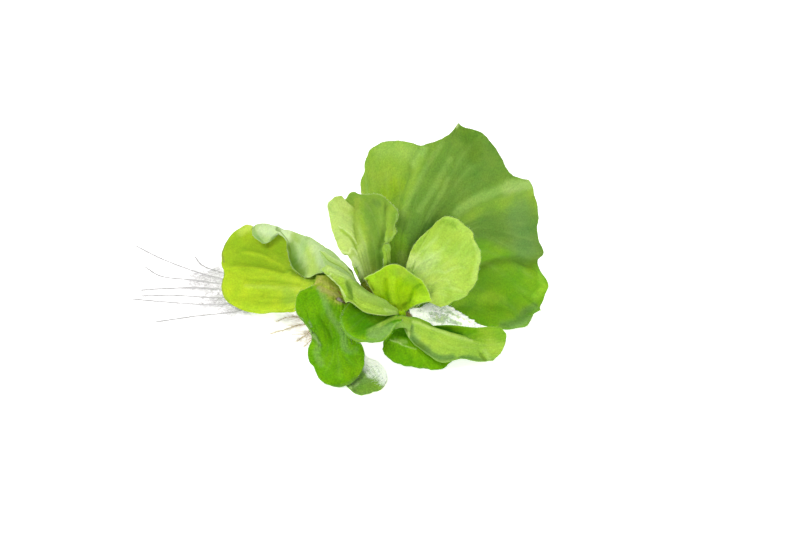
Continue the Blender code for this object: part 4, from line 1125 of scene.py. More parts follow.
def spikes(name, paths, radii, sides, collection):
    """Closed tapering strands: paths are (strand, point, xyz) in mm, radii are (strand, point) in mm."""
    count, points = radii.shape
    ahead = unit(np.gradient(paths, axis=1))
    nearly_upright = np.array((0.12, 0.07, 1.0))
    side = unit(np.cross(ahead, nearly_upright))
    over = np.cross(side, ahead)
    angles = np.arange(sides) * 2 * np.pi / sides
    ring = (
        side[:, :, None, :] * np.cos(angles)[None, None, :, None]
        + over[:, :, None, :] * np.sin(angles)[None, None, :, None]
    )
    corners = paths[:, :, None, :] + ring * radii[:, :, None, None]
    vertices = (corners.reshape(-1, 3) + HEART) * MM
    point, turn = np.meshgrid(np.arange(points - 1), np.arange(sides), indexing="ij")
    following = (turn + 1) % sides
    quads = np.stack((
        point * sides + turn,
        point * sides + following,
        (point + 1) * sides + following,
        (point + 1) * sides + turn,
    ), axis=-1).reshape(-1, 4)
    starts = (np.arange(count) * points * sides)[:, None, None]
    walls = (quads[None] + starts).reshape(-1, 4).tolist()
    ends = []
    for start in starts.ravel().tolist():
        ends.append([start + turn for turn in reversed(range(sides))])
        top = start + (points - 1) * sides
        ends.append([top + turn for turn in range(sides)])
    mesh = bpy.data.meshes.new(name)
    mesh.from_pydata(vertices.tolist(), [], walls + ends)
    mesh.update()
    corner = vertex_at_corners(mesh)
    keep_map(mesh, "strand", corner % sides / sides, (corner // sides) % points / (points - 1))
    mesh.shade_smooth()
    return add_object(name, mesh, collection)


def hair_paths(roots, ways, length, bend, points, dice):
    """Fine hairs from their roots: each leaves its own way and bends as it goes."""
    count = len(roots)
    t = np.linspace(0.0, 1.0, points)[None, :, None]
    curl = dice.normal(0.0, bend, (count, 1, 3))
    reach = (length * dice.uniform(0.45, 1.0, count))[:, None, None]
    paths = roots[:, None, :] + (ways[:, None, :] * t + curl * t * t) * reach
    paths[..., 2] = np.maximum(paths[..., 2], LOWEST_HAIR)
    return paths


def root_path(start, *floor, steps=60, radius=0.5, lift=0.1):
    """Leaves the stem, bows down to the surface and runs along it to the tip."""
    start = np.array(start)
    first = np.array(floor[0], float)
    bow = np.append(start[:2] + (first[:2] - start[:2]) * 0.45, start[2] * 0.35)
    path = curve_through(np.array((start, bow, *floor)), np.linspace(0.0, 1.0, steps + 1))
    path[:, 2] = np.maximum(path[:, 2], 0.0) + radius + lift
    return path


def feather_paths(path, count, reach, stretch_of_root, turning, dice):
    """Fine crinkled rootlets that leave a root to both sides and sink to the surface."""
    points = 6
    t = np.linspace(0.0, 1.0, points)
    low, high = stretch_of_root
    shares = low + (high - low) * dice.random(count)
    starts = curve_through(path, shares)
    ahead = curve_through(path, shares + 0.02) - curve_through(path, shares - 0.02)
    turn = dice.choice((-1.0, 1.0), count) * dice.uniform(*turning, count)
    heading = np.arctan2(ahead[:, 1], ahead[:, 0]) + turn
    crinkle = dice.normal(0.0, 0.32, (count, points))
    angle = heading[:, None] + dice.uniform(-0.8, 0.8, (count, 1)) * t + crinkle
    length = reach * dice.uniform(0.3, 1.0, count)
    step = np.stack((np.cos(angle), np.sin(angle)), axis=2) * (length / (points - 1))[:, None, None]
    step[:, 0] = 0.0
    paths = np.repeat(starts[:, None, :], points, axis=1)
    paths[..., :2] += np.cumsum(step, axis=1)
    sink = np.clip(starts[:, 2] - 0.12, 0.0, length * 0.8)
    paths[..., 2] += 0.4 * np.abs(crinkle) * t - sink[:, None] * t**1.5
    paths[..., 2] = np.maximum(paths[..., 2], LOWEST_HAIR)
    return paths


def taper(paths, thick, thin):
    """Radii that run from thick to thin along each strand."""
    return np.linspace(thick, thin, paths.shape[1])[None] * np.ones((len(paths), 1))


# Materials


# Noise scales of the leaf faces, the strokes on them and the strands, and the share of a bump in relief.
PATCH_SCALE = 70.0
MOTTLE_SCALE = 110.0
GRAIN_SCALE = 1400.0
STROKE_SCALE = 380.0
STRAND_SCALE = 420.0
BUMP_STRENGTH = 0.5

# The constants that every leaf face shares: a faint sheen of fine hairs, and light passing through.
VELVET = {
    "Specular IOR Level": 0.05,
    "Sheen Weight": 0.02,
    "Sheen Roughness": 0.4,
    "Sheen Tint": (0.85, 0.95, 0.75, 1.0),
    "Subsurface Weight": 0.2,
    "Subsurface Radius": (0.7, 1.0, 0.25),
    "Subsurface Scale": MM,
}


def new_material(name):
    """A material, its nodes and its shader."""
    material = bpy.data.materials.new(name)
    material.use_nodes = True
    return material, material.node_tree, material.node_tree.nodes["Principled BSDF"]


def set_inputs(tree, node, inputs):
    """Gives inputs of a node their values or links."""
    for key, value in inputs.items():
        if isinstance(value, bpy.types.NodeSocket):
            tree.links.new(value, node.inputs[key])
        else:
            node.inputs[key].default_value = value


def add_node(tree, kind, inputs=None, **settings):
    """A node with its settings made and its inputs given values or links."""
    made = tree.nodes.new(kind)
    for key, value in settings.items():
        setattr(made, key, value)
    set_inputs(tree, made, inputs or {})
    return made


def place_group(tree, name, inputs):
    """One of the shared surface effects, placed in a material."""
    return add_node(tree, "ShaderNodeGroup", inputs, node_tree=bpy.data.node_groups[name])


def calculate(tree, operation, *values):
    """The result of one sum on values or sockets."""
    inputs = dict(enumerate(values))
    return add_node(tree, "ShaderNodeMath", inputs, operation=operation).outputs[0]


def stretch(tree, value, low, high, out_low=0.0, out_high=1.0):
    """A value carried smoothly from one range to another."""
    inputs = {"Value": value, "From Min": low, "From Max": high, "To Min": out_low, "To Max": out_high}
    return add_node(tree, "ShaderNodeMapRange", inputs, interpolation_type="SMOOTHSTEP").outputs["Result"]


def mix_colour(tree, share, first, second):
    """The first colour with a share of the second in it."""
    inputs = {0: share, 6: first, 7: second}
    return add_node(tree, "ShaderNodeMix", inputs, data_type="RGBA").outputs[2]


def soft_noise(tree, scale, detail, vector):
    """Noise from 0 to 1 around a half."""
    inputs = {"Vector": vector, "Scale": scale, "Detail": detail, "Roughness": 0.6}
    return add_node(tree, "ShaderNodeTexNoise", inputs).outputs["Fac"]


def read_map(tree, label):
    """The two values that a piece keeps in one of its UV maps."""
    layer = add_node(tree, "ShaderNodeUVMap", uv_map=label).outputs["UV"]
    parts = add_node(tree, "ShaderNodeSeparateXYZ", {0: layer})
    return parts.outputs["X"], parts.outputs["Y"]


def new_group(name, inputs, outputs):
    """An empty node group with its sockets, and the two ends that its nodes join."""
    tree = bpy.data.node_groups.new(name, "ShaderNodeTree")
    for label, default in inputs.items():
        kind = "NodeSocketColor" if isinstance(default, tuple) else "NodeSocketFloat"
        tree.interface.new_socket(name=label, in_out="INPUT", socket_type=kind).default_value = default
    for label, kind in outputs.items():
        tree.interface.new_socket(name=label, in_out="OUTPUT", socket_type=kind)
    entry = tree.nodes.new("NodeGroupInput").outputs
    leave = tree.nodes.new("NodeGroupOutput").inputs
    return tree, entry, leave


def build_soft_stroke():
    """A soft, uneven mask around a line on a leaf, from how many half widths away the line lies."""
    inputs = {"Away": 1.0, "Softness": 0.9, "Wobble": 0.8, "Fineness": STROKE_SCALE}
    tree, entry, leave = new_group("Soft Stroke", inputs, {"Mask": "NodeSocketFloat"})
    spot = add_node(tree, "ShaderNodeTexCoord").outputs["Object"]
    rough = calculate(tree, "SUBTRACT", soft_noise(tree, entry["Fineness"], 4.0, spot), 0.5)
    away = calculate(tree, "MULTIPLY_ADD", rough, entry["Wobble"], entry["Away"])
    inner = calculate(tree, "SUBTRACT", 1.1, entry["Softness"])
    tree.links.new(stretch(tree, away, inner, 1.35, 1.0, 0.0), leave["Mask"])


def build_blade_surface():
    """Veins in a fan, streaks, spots, velvet grain and a paler margin over a leaf's body colour."""
    inputs = {
        "Body": (0.1, 0.3, 0.02, 1.0),
        "Vein": (0.3, 0.5, 0.1, 1.0),
        "Margin": (0.5, 0.7, 0.2, 1.0),
        "Vein Strength": 0.5,
        "Vein Width": 0.3,
        "Margin Width": 0.4,
        "Margin Strength": 0.35,
        "Mottle": 0.4,
        "Streaks": 0.4,
        "Grain": 0.5,
    }
    outputs = {"Color": "NodeSocketColor", "Roughness": "NodeSocketFloat", "Height": "NodeSocketFloat"}
    tree, entry, leave = new_group("Blade Surface", inputs, outputs)
    _, up = read_map(tree, "fan")
    veins, margin = read_map(tree, "veins")
    spot = add_node(tree, "ShaderNodeTexCoord").outputs["Object"]

    nearness = calculate(tree, "PINGPONG", veins, 0.5)
    main = stretch(tree, nearness, 0.0, entry["Vein Width"], 1.0, 0.0)
    nearness = calculate(tree, "PINGPONG", calculate(tree, "MULTIPLY", veins, 4.0), 0.5)
    small = stretch(tree, nearness, 0.0, 0.35, 1.0, 0.0)
    near_rim = stretch(tree, margin, 1.0, 9.0)
    ribbed = calculate(tree, "MULTIPLY_ADD", small, 0.35, main)
    ribbed = calculate(tree, "MULTIPLY", ribbed, near_rim)
    patchy = stretch(tree, soft_noise(tree, PATCH_SCALE, 3.0, spot), 0.38, 0.62, 0.1, 1.0)
    ribbed = calculate(tree, "MULTIPLY", ribbed, patchy)

    mottle = calculate(tree, "SUBTRACT", soft_noise(tree, MOTTLE_SCALE, 5.0, spot), 0.5)
    grain = calculate(tree, "SUBTRACT", soft_noise(tree, GRAIN_SCALE, 3.0, spot), 0.5)
    long_way = add_node(tree, "ShaderNodeCombineXYZ", {
        "X": calculate(tree, "MULTIPLY", veins, 3.0),
        "Y": calculate(tree, "MULTIPLY", up, 5.0),
        "Z": calculate(tree, "MULTIPLY", margin, 0.05),
    }).outputs["Vector"]
    streak = calculate(tree, "SUBTRACT", soft_noise(tree, 1.6, 4.0, long_way), 0.5)
    value = calculate(tree, "MULTIPLY_ADD", mottle, entry["Mottle"], 1.0)
    value = calculate(tree, "MULTIPLY_ADD", streak, entry["Streaks"], value)
    value = calculate(tree, "MULTIPLY_ADD", grain, calculate(tree, "MULTIPLY", entry["Grain"], 1.6), value)
    tint = calculate(tree, "MULTIPLY_ADD", mottle, -0.06, 0.5)
    body = {"Hue": tint, "Value": value, "Color": entry["Body"]}
    body = add_node(tree, "ShaderNodeHueSaturation", body).outputs["Color"]
    vein_share = calculate(tree, "MULTIPLY", ribbed, entry["Vein Strength"])
    colour = mix_colour(tree, vein_share, body, entry["Vein"])
    inward = calculate(tree, "DIVIDE", margin, entry["Margin Width"])
    uneven = calculate(tree, "MULTIPLY_ADD", mottle, 1.6, inward)
    edge = calculate(tree, "MULTIPLY", stretch(tree, uneven, 0.1, 1.3, 1.0, 0.0), entry["Margin Strength"])
    colour = mix_colour(tree, edge, colour, entry["Margin"])
    tree.links.new(colour, leave["Color"])
    tree.links.new(calculate(tree, "MULTIPLY_ADD", grain, 0.3, 0.7), leave["Roughness"])
    height = calculate(tree, "MULTIPLY_ADD", grain, 0.7, calculate(tree, "MULTIPLY", ribbed, -0.25))
    tree.links.new(height, leave["Height"])


def colour_ramp(tree, share, stops, palette):
    """A colour that runs through stops of the palette, or that is one of its colours throughout."""
    if isinstance(stops, str):
        stops = ((0.0, stops),)
    ramp = add_node(tree, "ShaderNodeValToRGB", {"Fac": share})
    points = ramp.color_ramp.elements
    while len(points) > 1:
        points.remove(points[-1])
    points[0].position = stops[0][0]
    points[0].color = palette[stops[0][1]]
    for position, label in stops[1:]:
        points.new(position).color = palette[label]
    ramp.color_ramp.interpolation = "EASE"
    return ramp.outputs["Color"]


def paint_strokes(tree, body, look, kind, palette):
    """Lays a leaf's soft strokes over its body colour: its own marks, and painted light and shade."""
    for label, (colour, half, strength, *_) in numbered_strokes(look, kind).items():
        away = add_node(tree, "ShaderNodeAttribute", attribute_name=label).outputs["Fac"]
        fineness = STROKE_SCALE / min(half, 1.0)
        mask = place_group(tree, "Soft Stroke", {"Away": away, "Fineness": fineness}).outputs["Mask"]
        body = mix_colour(tree, calculate(tree, "MULTIPLY", mask, strength), body, palette[colour])
    return body


def upper_material(name, look, palette):
    """The upper face: two runs of colour, the strokes over them, then veins, velvet and margin."""
    material, tree, shader = new_material(name + "_upper")
    across, up = read_map(tree, "fan")
    body = mix_colour(
        tree,
        look["up_share"],
        colour_ramp(tree, across, look["across"], palette),
        colour_ramp(tree, up, look["up"], palette),
    )
    finish_blade(tree, {
        "Body": paint_strokes(tree, body, look, "strokes", palette),
        "Vein": palette[look["vein"]],
        "Margin": palette[look["margin"]],
        "Vein Strength": look["vein_strength"],
        "Mottle": look["mottle"],
        "Streaks": look["streaks"],
        "Grain": look["grain"],
    })
    # Painted glow: white tissue gets a light of its own, so that it stays white in shade.
    set_inputs(tree, shader, {"Emission Color": palette["down"], "Emission Strength": look["glow"]})
    return material


def under_material(name, look, palette):
    """The underside: paler, with the veins raised and felted."""
    material, tree, _ = new_material(name + "_under")
    body = add_node(tree, "ShaderNodeRGB")
    body.outputs[0].default_value = palette[look["under"]]
    finish_blade(tree, {
        "Body": paint_strokes(tree, body.outputs[0], look, "under_strokes", palette),
        "Vein": palette["mint_pale"],
        "Margin": palette["mint_pale"],
        "Vein Strength": 0.25,
        "Vein Width": 0.24,
        "Mottle": 0.35,
        "Streaks": 0.25,
        "Grain": 0.35,
    })
    return material


def bumped(tree, height, distance):
    """The normal of a surface that stands up by a height, this far where it is one."""
    inputs = {"Strength": BUMP_STRENGTH, "Distance": distance, "Height": height}
    return add_node(tree, "ShaderNodeBump", inputs).outputs["Normal"]


def finish_blade(tree, inputs):
    """Joins the shared leaf surface to the shader."""
    surface = place_group(tree, "Blade Surface", inputs).outputs
    set_inputs(tree, tree.nodes["Principled BSDF"], {
        **VELVET,
        "Base Color": surface["Color"],
        "Roughness": surface["Roughness"],
        "Normal": bumped(tree, surface["Height"], 0.4 * MM),
    })


def strand_material(name, foot, tip, mottle, roughness):
    """Roots and hairs: one colour running into another along the strand, with fine spots."""
    material, tree, shader = new_material(name)
    _, along = read_map(tree, "strand")
    spot = add_node(tree, "ShaderNodeTexCoord").outputs["Object"]
    colour = mix_colour(tree, stretch(tree, along, 0.2, 1.0), foot, tip)
    spots = calculate(tree, "SUBTRACT", soft_noise(tree, STRAND_SCALE, 4.0, spot), 0.5)
    value = calculate(tree, "MULTIPLY_ADD", spots, mottle, 1.0)
    colour = add_node(tree, "ShaderNodeHueSaturation", {"Value": value, "Color": colour}).outputs["Color"]
    set_inputs(tree, shader, {
        "Base Color": colour,
        "Roughness": roughness,
        "Specular IOR Level": 0.3,
        "Normal": bumped(tree, spots, 0.2 * MM),
    })
    return material


# What a user would change


def paint(label, description, colour):
    """A colour that a user can change."""
    return FloatVectorProperty(
        name=label, description=description, subtype="COLOR", size=3, min=0.0, max=1.0, default=colour
    )


class PlantSizes(bpy.types.PropertyGroup):
    foot_thickness: FloatProperty(
        name="Foot thickness", description="Thickness of a blade at its foot",
        default=1.3 * MM, min=0.2 * MM, max=3 * MM, precision=5, unit="LENGTH",
    )
    rim_thickness: FloatProperty(
        name="Rim thickness", description="Thickness of a blade at its margin",
        default=0.35 * MM, min=0.1 * MM, max=1.5 * MM, precision=5, unit="LENGTH",
    )
    pleat_share: FloatProperty(
        name="Pleats", description="How strongly the blades swell between their veins",
        default=1.0, min=0.0, max=3.0,
    )
    ruffle_share: FloatProperty(
        name="Ruffles", description="How strongly the margins wave", default=1.0, min=0.0, max=3.0,
    )
    down_length: FloatProperty(
        name="Down length", description="Length of the hairs on the margins",
        default=0.75 * MM, min=0.0, max=3 * MM, precision=5, unit="LENGTH",
    )
    down_density: FloatProperty(
        name="Down density", description="Hairs on each millimetre of rim", default=6.0, min=0.0, max=30.0,
    )
    root_radius: FloatProperty(
        name="Root radius", description="Radius of a root where it leaves the stem",
        default=0.42 * MM, min=0.1 * MM, max=1.0 * MM, precision=5, unit="LENGTH",
    )
    rootlets: IntProperty(
        name="Rootlets", description="Fine rootlets on each long root", default=300, min=0, max=600,
    )


class PlantColours(bpy.types.PropertyGroup):
    # Deep hollow and hollow green paint shade: the dark channel, the insides of cupped leaves, and folds and
    # feet that lie under other leaves.
    deep_hollow: paint("Deep hollow", "Darkest channel of the lime leaf", (0.035, 0.150, 0.001))
    hollow_green: paint("Hollow green", "Deep inside of the cupped leaves", (0.082, 0.275, 0.001))
    shade_green: paint("Shade green", "Deepest folds of the soft leaves", (0.102, 0.209, 0.012))
    deep_green: paint("Deep green", "Shaded parts of the broad back leaf", (0.122, 0.245, 0.031))
    mid_green: paint("Mid green", "Middle of the broad back leaf", (0.157, 0.295, 0.032))
    blue_green: paint("Blue green", "Dull right side of the back leaf", (0.14, 0.275, 0.062))
    fresh_green: paint("Fresh green", "Lower lobe of the back leaf", (0.170, 0.390, 0.008))
    vivid_green: paint("Vivid green", "Hanging and lower leaves", (0.130, 0.345, 0.0015))
    leather_green: paint("Leather green", "Lighter parts of the lower leaves", (0.175, 0.385, 0.006))
    leaf_light: paint("Leaf light", "Sunlit right margin of the back leaf", (0.29, 0.54, 0.03))
    spring_green: paint("Spring green", "Sunlit lobes", (0.25, 0.42, 0.036))
    # Light green serves for pale veins and margins, and also as painted light on the back leaf's bands.
    light_green: paint("Light green", "Light bands of the back leaf", (0.31, 0.50, 0.10))
    # The glow colours are the small leaf's own green with painted light that shines through it from behind;
    # soft glow paints the shade on its upper part.
    glow_green: paint("Glow green", "The small leaf over the crown", (0.305, 0.53, 0.002))
    glow_light: paint("Glow light", "Brightest part of the small leaf", (0.40, 0.65, 0.025))
    lime: paint("Lime", "Young leaves", (0.30, 0.49, 0.048))
    bright_lime: paint("Bright lime", "Brightest part of a young leaf", (0.35, 0.55, 0.058))
    light_lime: paint("Light lime", "Pale ribs of a young leaf", (0.45, 0.63, 0.15))
    fair_lime: paint("Fair lime", "The lime leaf right of the crown", (0.40, 0.58, 0.088))
    glow_soft: paint("Soft glow", "Upper part of the small leaf", (0.27, 0.45, 0.030))
    # Pale green is painted light on the side of the upper left leaf that faces the light.
    pale_green: paint("Pale green", "Pale side of the upper left leaf", (0.44, 0.585, 0.145))
    # Pale rim serves for thin rims, and also as painted light in places under the leaves that lie in shade.
    rim_pale: paint("Pale rim", "Thin pale rims", (0.58, 0.72, 0.28))
    # Yellow green and olive yellow are lit and shaded copies: the left leaf's near half faces the light, its
    # far half and grooves lie in painted shade; lime yellow is painted light on its ribs.
    yellow_green: paint("Yellow green", "The left leaf's near half", (0.42, 0.585, 0.020))
    lime_yellow: paint("Lime yellow", "Bright ribs of the left leaf", (0.50, 0.65, 0.085))
    olive_yellow: paint("Olive yellow", "The left leaf's far half", (0.27, 0.44, 0.013))
    stripe_blush: paint("Blush", "Thin pinkish stripe and margins", (0.27, 0.40, 0.045))
    bloom_green: paint("Bloom green", "Felted faces with a bluish bloom", (0.20, 0.37, 0.08))
    bloom_dark: paint("Dark bloom", "Shaded felted margins", (0.11, 0.24, 0.045))
    mint: paint("Mint", "Undersides", (0.40, 0.57, 0.195))
    mint_pale: paint("Pale mint", "Ribs and margins of the undersides", (0.56, 0.71, 0.37))
    down: paint("Down", "Pale hairs and wet tissue", (0.93, 0.96, 0.89))
    silver: paint("Silver", "Wet hairs of the front leaf", (0.78, 0.83, 0.78))
    decay_ochre: paint("Decay ochre", "Rotting foot of the hanging leaf", (0.34, 0.375, 0.040))
    margin_ochre: paint("Pale ochre", "Yellowed tissue beside the rot", (0.50, 0.50, 0.12))
    decay_flesh: paint("Decay flesh", "Palest part of the rot", (0.45, 0.36, 0.20))
    decay_red: paint("Decay red", "Reddest part of the rot", (0.26, 0.13, 0.03))
    decay_brown: paint("Decay brown", "Dead tissue", (0.10, 0.065, 0.03))
    decay_mauve: paint("Decay mauve", "Dry middle of the dead tissue", (0.42, 0.36, 0.32))
    # Cavity brown is painted shade in the gap beside the small leaf, in a brown tone.
    cavity_brown: paint("Cavity brown", "Dark gap beside the small leaf", (0.07, 0.075, 0.004))
    margin_brown: paint("Brown margin", "Bruised margin of the left leaf", (0.223, 0.216, 0.065))
    stem_olive: paint("Stem olive", "The stem", (0.16, 0.15, 0.025))
    root_grey: paint("Root grey", "Long roots", (0.76, 0.745, 0.75))
    root_tip: paint("Root tip", "Tips of the long roots", (0.42, 0.41, 0.41))
    root_tan: paint("Root tan", "Short roots", (0.66, 0.55, 0.34))
    root_brown: paint("Root brown", "Strands of the short roots", (0.40, 0.28, 0.14))
    root_pale: paint("Root pale", "Tips of the short roots", (0.84, 0.81, 0.80))
    hair_white: paint("Hair white", "Fine hairs on margins and wet tissue", (0.90, 0.94, 0.84))
    floor_white: paint("Floor white", "The surface that the plant lies on", (0.90, 0.90, 0.90))

    def palette(self):
        """Every colour by its name, opaque."""
        return {label: (*getattr(self, label), 1.0) for label in self.__annotations__}


# Making the pieces


def plant_collection(context):
    """The collection that holds the plant's pieces."""
    found = bpy.data.collections.get("Water lettuce")
    if found is None:
        found = bpy.data.collections.new("Water lettuce")
        context.scene.collection.children.link(found)
    return found


def finish_piece(piece, node):
    """Sets a piece on the plant's one body, in the place of a plain solid where there is one."""
    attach(piece, "root")
    if node:
        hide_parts(node)


class PLANT_OT_materials(bpy.types.Operator):
    """Builds the surface effects that the leaves share"""

    bl_idname = "plant.materials"
    bl_label = "Shared surfaces"

    def execute(self, context):
        build_soft_stroke()
        build_blade_surface()
        return {"FINISHED"}


class PLANT_OT_leaves(bpy.types.Operator):
    """Lays each ribbed, velvety leaf on its rows, with the down on its margins"""

    bl_idname = "plant.leaves"
    bl_label = "Leaves"

    def execute(self, context):
        sizes = context.scene.plant_sizes
        palette = context.scene.plant_colours.palette()
        collection = plant_collection(context)
        for seed, (name, own_look) in enumerate(LEAF_LOOKS.items(), 1):
            look = {**PLAIN_LOOK, **own_look}
            blade = Blade(look, LEAF_ROWS[name], sizes, seed)
            self.lay(blade, name, look, palette, collection)
            self.grow_down(blade, name, look, sizes, palette, collection, np.random.default_rng(seed))
            if "tufts" in look:
                dice = np.random.default_rng(TUFT_SEED + seed)
                self.grow_tufts(blade, name, look, palette["hair_white"], collection, dice)
        return {"FINISHED"}

    def lay(self, blade, name, look, palette, collection):
        """The blade itself, thickened downwards from its upper face."""
        mesh, thickness = blade.mesh(name + "_blade")
        piece = add_object(name + "_blade", mesh, collection)
        mesh.materials.append(upper_material(name, look, palette))
        mesh.materials.append(under_material(name, look, palette))
        group = piece.vertex_groups.new(name="thickness")
        most = float(thickness.max())
        for index, value in enumerate(thickness.tolist()):
            group.add([index], value / most, "REPLACE")
        thicken = piece.modifiers.new("Thickness", "SOLIDIFY")
        thicken.thickness = most * MM
        thicken.offset = -1.0
        thicken.vertex_group = group.name
        thicken.material_offset = 1
        finish_piece(piece, None if "of" in look else name)

    def grow_down(self, blade, name, look, sizes, palette, collection, dice):
        """Short hairs all along the margins."""
        run = run_along(blade.places[-1], 0)[-1]
        count = int(run * sizes.down_density)
        roots, ways = blade.margin_roots(count, dice)
        paths = hair_paths(roots, ways, sizes.down_length / MM, 0.2, 2, dice)
        hairs = spikes(name + "_down", paths, taper(paths, *DOWN_RADII), HAIR_SIDES, collection)
        colour = palette[look["margin"]]
        hairs.data.materials.append(strand_material(name + "_down", colour, palette["hair_white"], 0.2, 0.8))
        finish_piece(hairs, None)

    def grow_tufts(self, blade, name, look, white, collection, dice):
        """Longer wet hairs along one of the leaf's strokes, with a painted glow that keeps them white in
        shade.
        """
        stroke, count, length = look["tufts"]
        number = list(look["strokes"]).index(stroke) + 1
        roots, ways = blade.tuft_roots(f"strokes_{number:02d}", count, dice)
        paths = hair_paths(roots, ways, length, 0.35, 4, dice)
        hairs = spikes(name + "_tufts", paths, taper(paths, *TUFT_RADII), HAIR_SIDES, collection)
        skin = strand_material(name + "_tufts", white, white, 0.2, 0.7)
        shader = skin.node_tree.nodes["Principled BSDF"]
        # Painted glow, so that the white hairs stay white in shade.
        set_inputs(skin.node_tree, shader, {"Emission Color": white, "Emission Strength": TUFT_GLOW})
        hairs.data.materials.append(skin)
        finish_piece(hairs, None)


class PLANT_OT_stem(bpy.types.Operator):
    """Makes the short knobbly stem"""

    bl_idname = "plant.stem"
    bl_label = "Stem"

    def execute(self, context):
        palette = context.scene.plant_colours.palette()
        shares = np.linspace(0.0, 1.0, STEM_STEPS)
        path = curve_through([place for place, _ in STEM], shares)
        radii = curve_through([[radius] for _, radius in STEM], shares)[:, 0]
        piece = spikes("stem_body", path[None], radii[None], STEM_SIDES, plant_collection(context))
        places = vertex_places(piece.data)
        centre = np.repeat((path + HEART) * MM, STEM_SIDES, axis=0)
        knobs = layered(places / MM, STEM_KNOBS, 5)
        rings = 0.05 * np.sin(np.repeat(run_along(path, 0), STEM_SIDES) * 2.4)
        places = centre + (places - centre) * (1.0 + knobs + rings)[:, None]
        piece.data.vertices.foreach_set("co", places.ravel())
        skin = strand_material("stem_skin", palette["stem_olive"], palette["stem_olive"], 1.2, 0.7)
        piece.data.materials.append(skin)
        finish_piece(piece, "stem")
        return {"FINISHED"}


class PLANT_OT_roots(bpy.types.Operator):
    """Lays the long and short roots with their feathery rootlets"""

    bl_idname = "plant.roots"
    bl_label = "Roots"

    def execute(self, context):
        sizes = context.scene.plant_sizes
        palette = context.scene.plant_colours.palette()
        collection = plant_collection(context)
        dice = np.random.default_rng(ROOT_SEED)
        radius = sizes.root_radius / MM
        long_paths = [root_path(*root, radius=radius) for root in LONG_ROOTS]
        short_paths = [root_path(*root, radius=0.7 * radius) for root in SHORT_ROOTS]
        grey = palette["root_grey"]
        tan = palette["root_tan"]
        pale = palette["root_pale"]
        self.lay("root_long", long_paths, radius, grey, palette["root_tip"], collection)
        self.lay("root_short", short_paths, 0.5 * radius, palette["root_brown"], tan, collection)
        fluff = strand_material("root_long_rootlets", grey, pale, 0.3, 0.7)
        self.feather("root_long", long_paths, LONG_ROOTLETS, sizes.rootlets, fluff, collection, dice)
        fluff = strand_material("root_short_rootlets", tan, pale, 0.4, 0.7)
        self.feather("root_short", short_paths, SHORT_ROOTLETS, sizes.rootlets, fluff, collection, dice)
        self.fine_strands(long_paths, grey, collection, dice)
        return {"FINISHED"}

    def lay(self, kind, paths, radius, colour, tip, collection):
        """The roots of one kind, each a slightly beaded strand in the place of its plain solid."""
        skin = strand_material(kind + "_skin", colour, tip, 0.5, 0.7)
        for number, path in enumerate(paths, 1):
            shares = np.linspace(0.0, 1.0, len(path))
            radii = radius * (1.0 - 0.35 * shares) * (1.0 + 0.12 * np.sin(shares * 61 + number))
            piece = spikes(f"{kind}_{number:02d}_strand", path[None], radii[None], ROOT_SIDES, collection)
            piece.data.materials.append(skin)
            finish_piece(piece, f"{kind}_{number:02d}")

    def feather(self, kind, roots, rootlets, count, fluff, collection, dice):
        """The rootlets of each root of one kind."""
        for number, root in enumerate(roots, 1):
            paths = np.concatenate([
                feather_paths(root, int(share * count), reach, stretch_of_root, turning, dice)
                for share, reach, stretch_of_root, turning in rootlets
            ])
            radii = taper(paths, *ROOTLET_RADII)
            piece = spikes(f"{kind}_{number:02d}_rootlets", paths, radii, HAIR_SIDES, collection)
            piece.data.materials.append(fluff)
            finish_piece(piece, None)

    def fine_strands(self, paths, grey, collection, dice):
        """Hair-thin roots that run between the long ones."""
        order = [paths[-1], *paths[:-1]]
        shares = np.linspace(0.0, 1.0, 50)
        strands = []
        for _ in range(FINE_ROOTS):
            first = dice.integers(0, len(order) - 1)
            share = dice.random()
            between = order[first] * (1.0 - share) + order[first + 1] * share
            strand = curve_through(between, shares * dice.uniform(0.62, 0.95))
            sway = dice.normal(0.0, 1.0, (2, 1)) * np.sin(shares * dice.uniform(4.0, 9.0, (2, 1)))
            strand[:, :2] += (sway * shares).T * 1.6
            strands.append(strand)
        strands = np.array(strands)
        strands[..., 2] = np.maximum(strands[..., 2] - 0.2, 0.1)
        radii = taper(strands, *FINE_ROOT_RADII)
        piece = spikes("root_long_fine", strands, radii, FINE_ROOT_SIDES, collection)
        skin = strand_material("root_long_fine", grey, grey, 0.3, 0.7)
        piece.data.materials.append(skin)
        finish_piece(piece, None)


def aim(thing, target):
    """Turns a lamp or camera to look at a place."""
    way = target - thing.location
    thing.rotation_euler = way.to_track_quat("-Z", "Y").to_euler()


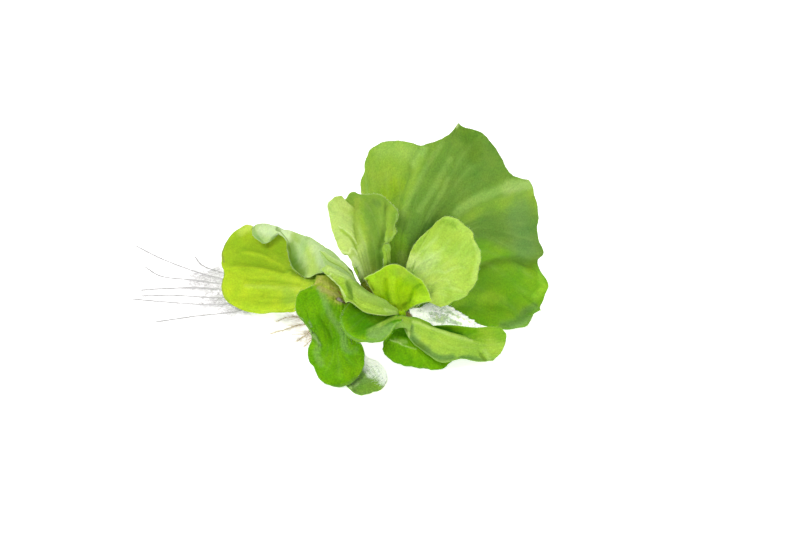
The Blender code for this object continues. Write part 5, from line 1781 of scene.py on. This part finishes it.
class PLANT_OT_stage(bpy.types.Operator):
    """Sets the pale floor, the soft light and the camera"""

    bl_idname = "plant.stage"
    bl_label = "Stage"

    def execute(self, context):
        spot = Vector((HEART + np.array(CAMERA_SPOT)) * MM)
        self.lay_floor(context.scene)
        self.light_sky(context.scene)
        self.hang_lamps(context.scene, spot)
        self.set_camera(context.scene, spot)
        return {"FINISHED"}

    def lay_floor(self, scene):
        """A wide pale floor that glows a little, so that it shows white."""
        floor = add_object("floor", grid_mesh("floor", 1, 1, FLOOR_HALF_WIDTH), scene.collection)
        material, tree, shader = new_material("floor_white")
        set_inputs(tree, shader, {
            "Base Color": (*scene.plant_colours.floor_white, 1.0),
            "Roughness": 0.9,
            "Specular IOR Level": 0.0,
            "Emission Color": WHITE,
            "Emission Strength": FLOOR_GLOW,
        })
        floor.data.materials.append(material)

    def light_sky(self, scene):
        """Even white light from all round."""
        world = bpy.data.worlds.new("soft white")
        world.use_nodes = True
        background = world.node_tree.nodes["Background"]
        set_inputs(world.node_tree, background, {"Color": WHITE, "Strength": SKY_LIGHT})
        scene.world = world
        scene.view_settings.view_transform = "Standard"

    def hang_lamps(self, scene, spot):
        """Soft lamps around the plant."""
        for label, (place, size, power) in LAMPS.items():
            lamp = bpy.data.lights.new(label, "AREA")
            lamp.size = size
            lamp.energy = power
            holder = add_object(label, lamp, scene.collection)
            holder.location = spot + Vector(place)
            aim(holder, spot)

    def set_camera(self, scene, spot):
        """The camera, where the photograph was taken from."""
        camera = add_object("camera", bpy.data.cameras.new("camera"), scene.collection)
        camera.data.lens = CAMERA_LENS
        camera.data.clip_start = 0.05
        camera.location = spot + Vector(TO_CAMERA) * CAMERA_DISTANCE * MM
        aim(camera, spot)
        scene.camera = camera


class PLANT_PT_panel(bpy.types.Panel):
    """The plant's sizes, colours and steps"""

    bl_idname = "PLANT_PT_panel"
    bl_label = "Water lettuce"
    bl_space_type = "VIEW_3D"
    bl_region_type = "UI"
    bl_category = "Plant"

    def draw(self, context):
        for settings in (context.scene.plant_sizes, context.scene.plant_colours):
            box = self.layout.box()
            for label in settings.__annotations__:
                box.prop(settings, label)
        for step in STEPS:
            self.layout.operator(step.bl_idname)


STEPS = (PLANT_OT_stage, PLANT_OT_materials, PLANT_OT_leaves, PLANT_OT_stem, PLANT_OT_roots)
CLASSES = (PlantSizes, PlantColours, *STEPS, PLANT_PT_panel)


def register():
    for item in CLASSES:
        bpy.utils.register_class(item)
    bpy.types.Scene.plant_sizes = PointerProperty(type=PlantSizes)
    bpy.types.Scene.plant_colours = PointerProperty(type=PlantColours)


def unregister():
    del bpy.types.Scene.plant_colours
    del bpy.types.Scene.plant_sizes
    for item in reversed(CLASSES):
        bpy.utils.unregister_class(item)


def main():
    """Makes the whole plant."""
    register()
    bpy.ops.plant.stage()
    bpy.ops.plant.materials()
    bpy.ops.plant.leaves()
    bpy.ops.plant.stem()
    bpy.ops.plant.roots()
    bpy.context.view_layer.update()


if __name__ == "__main__":
    main()
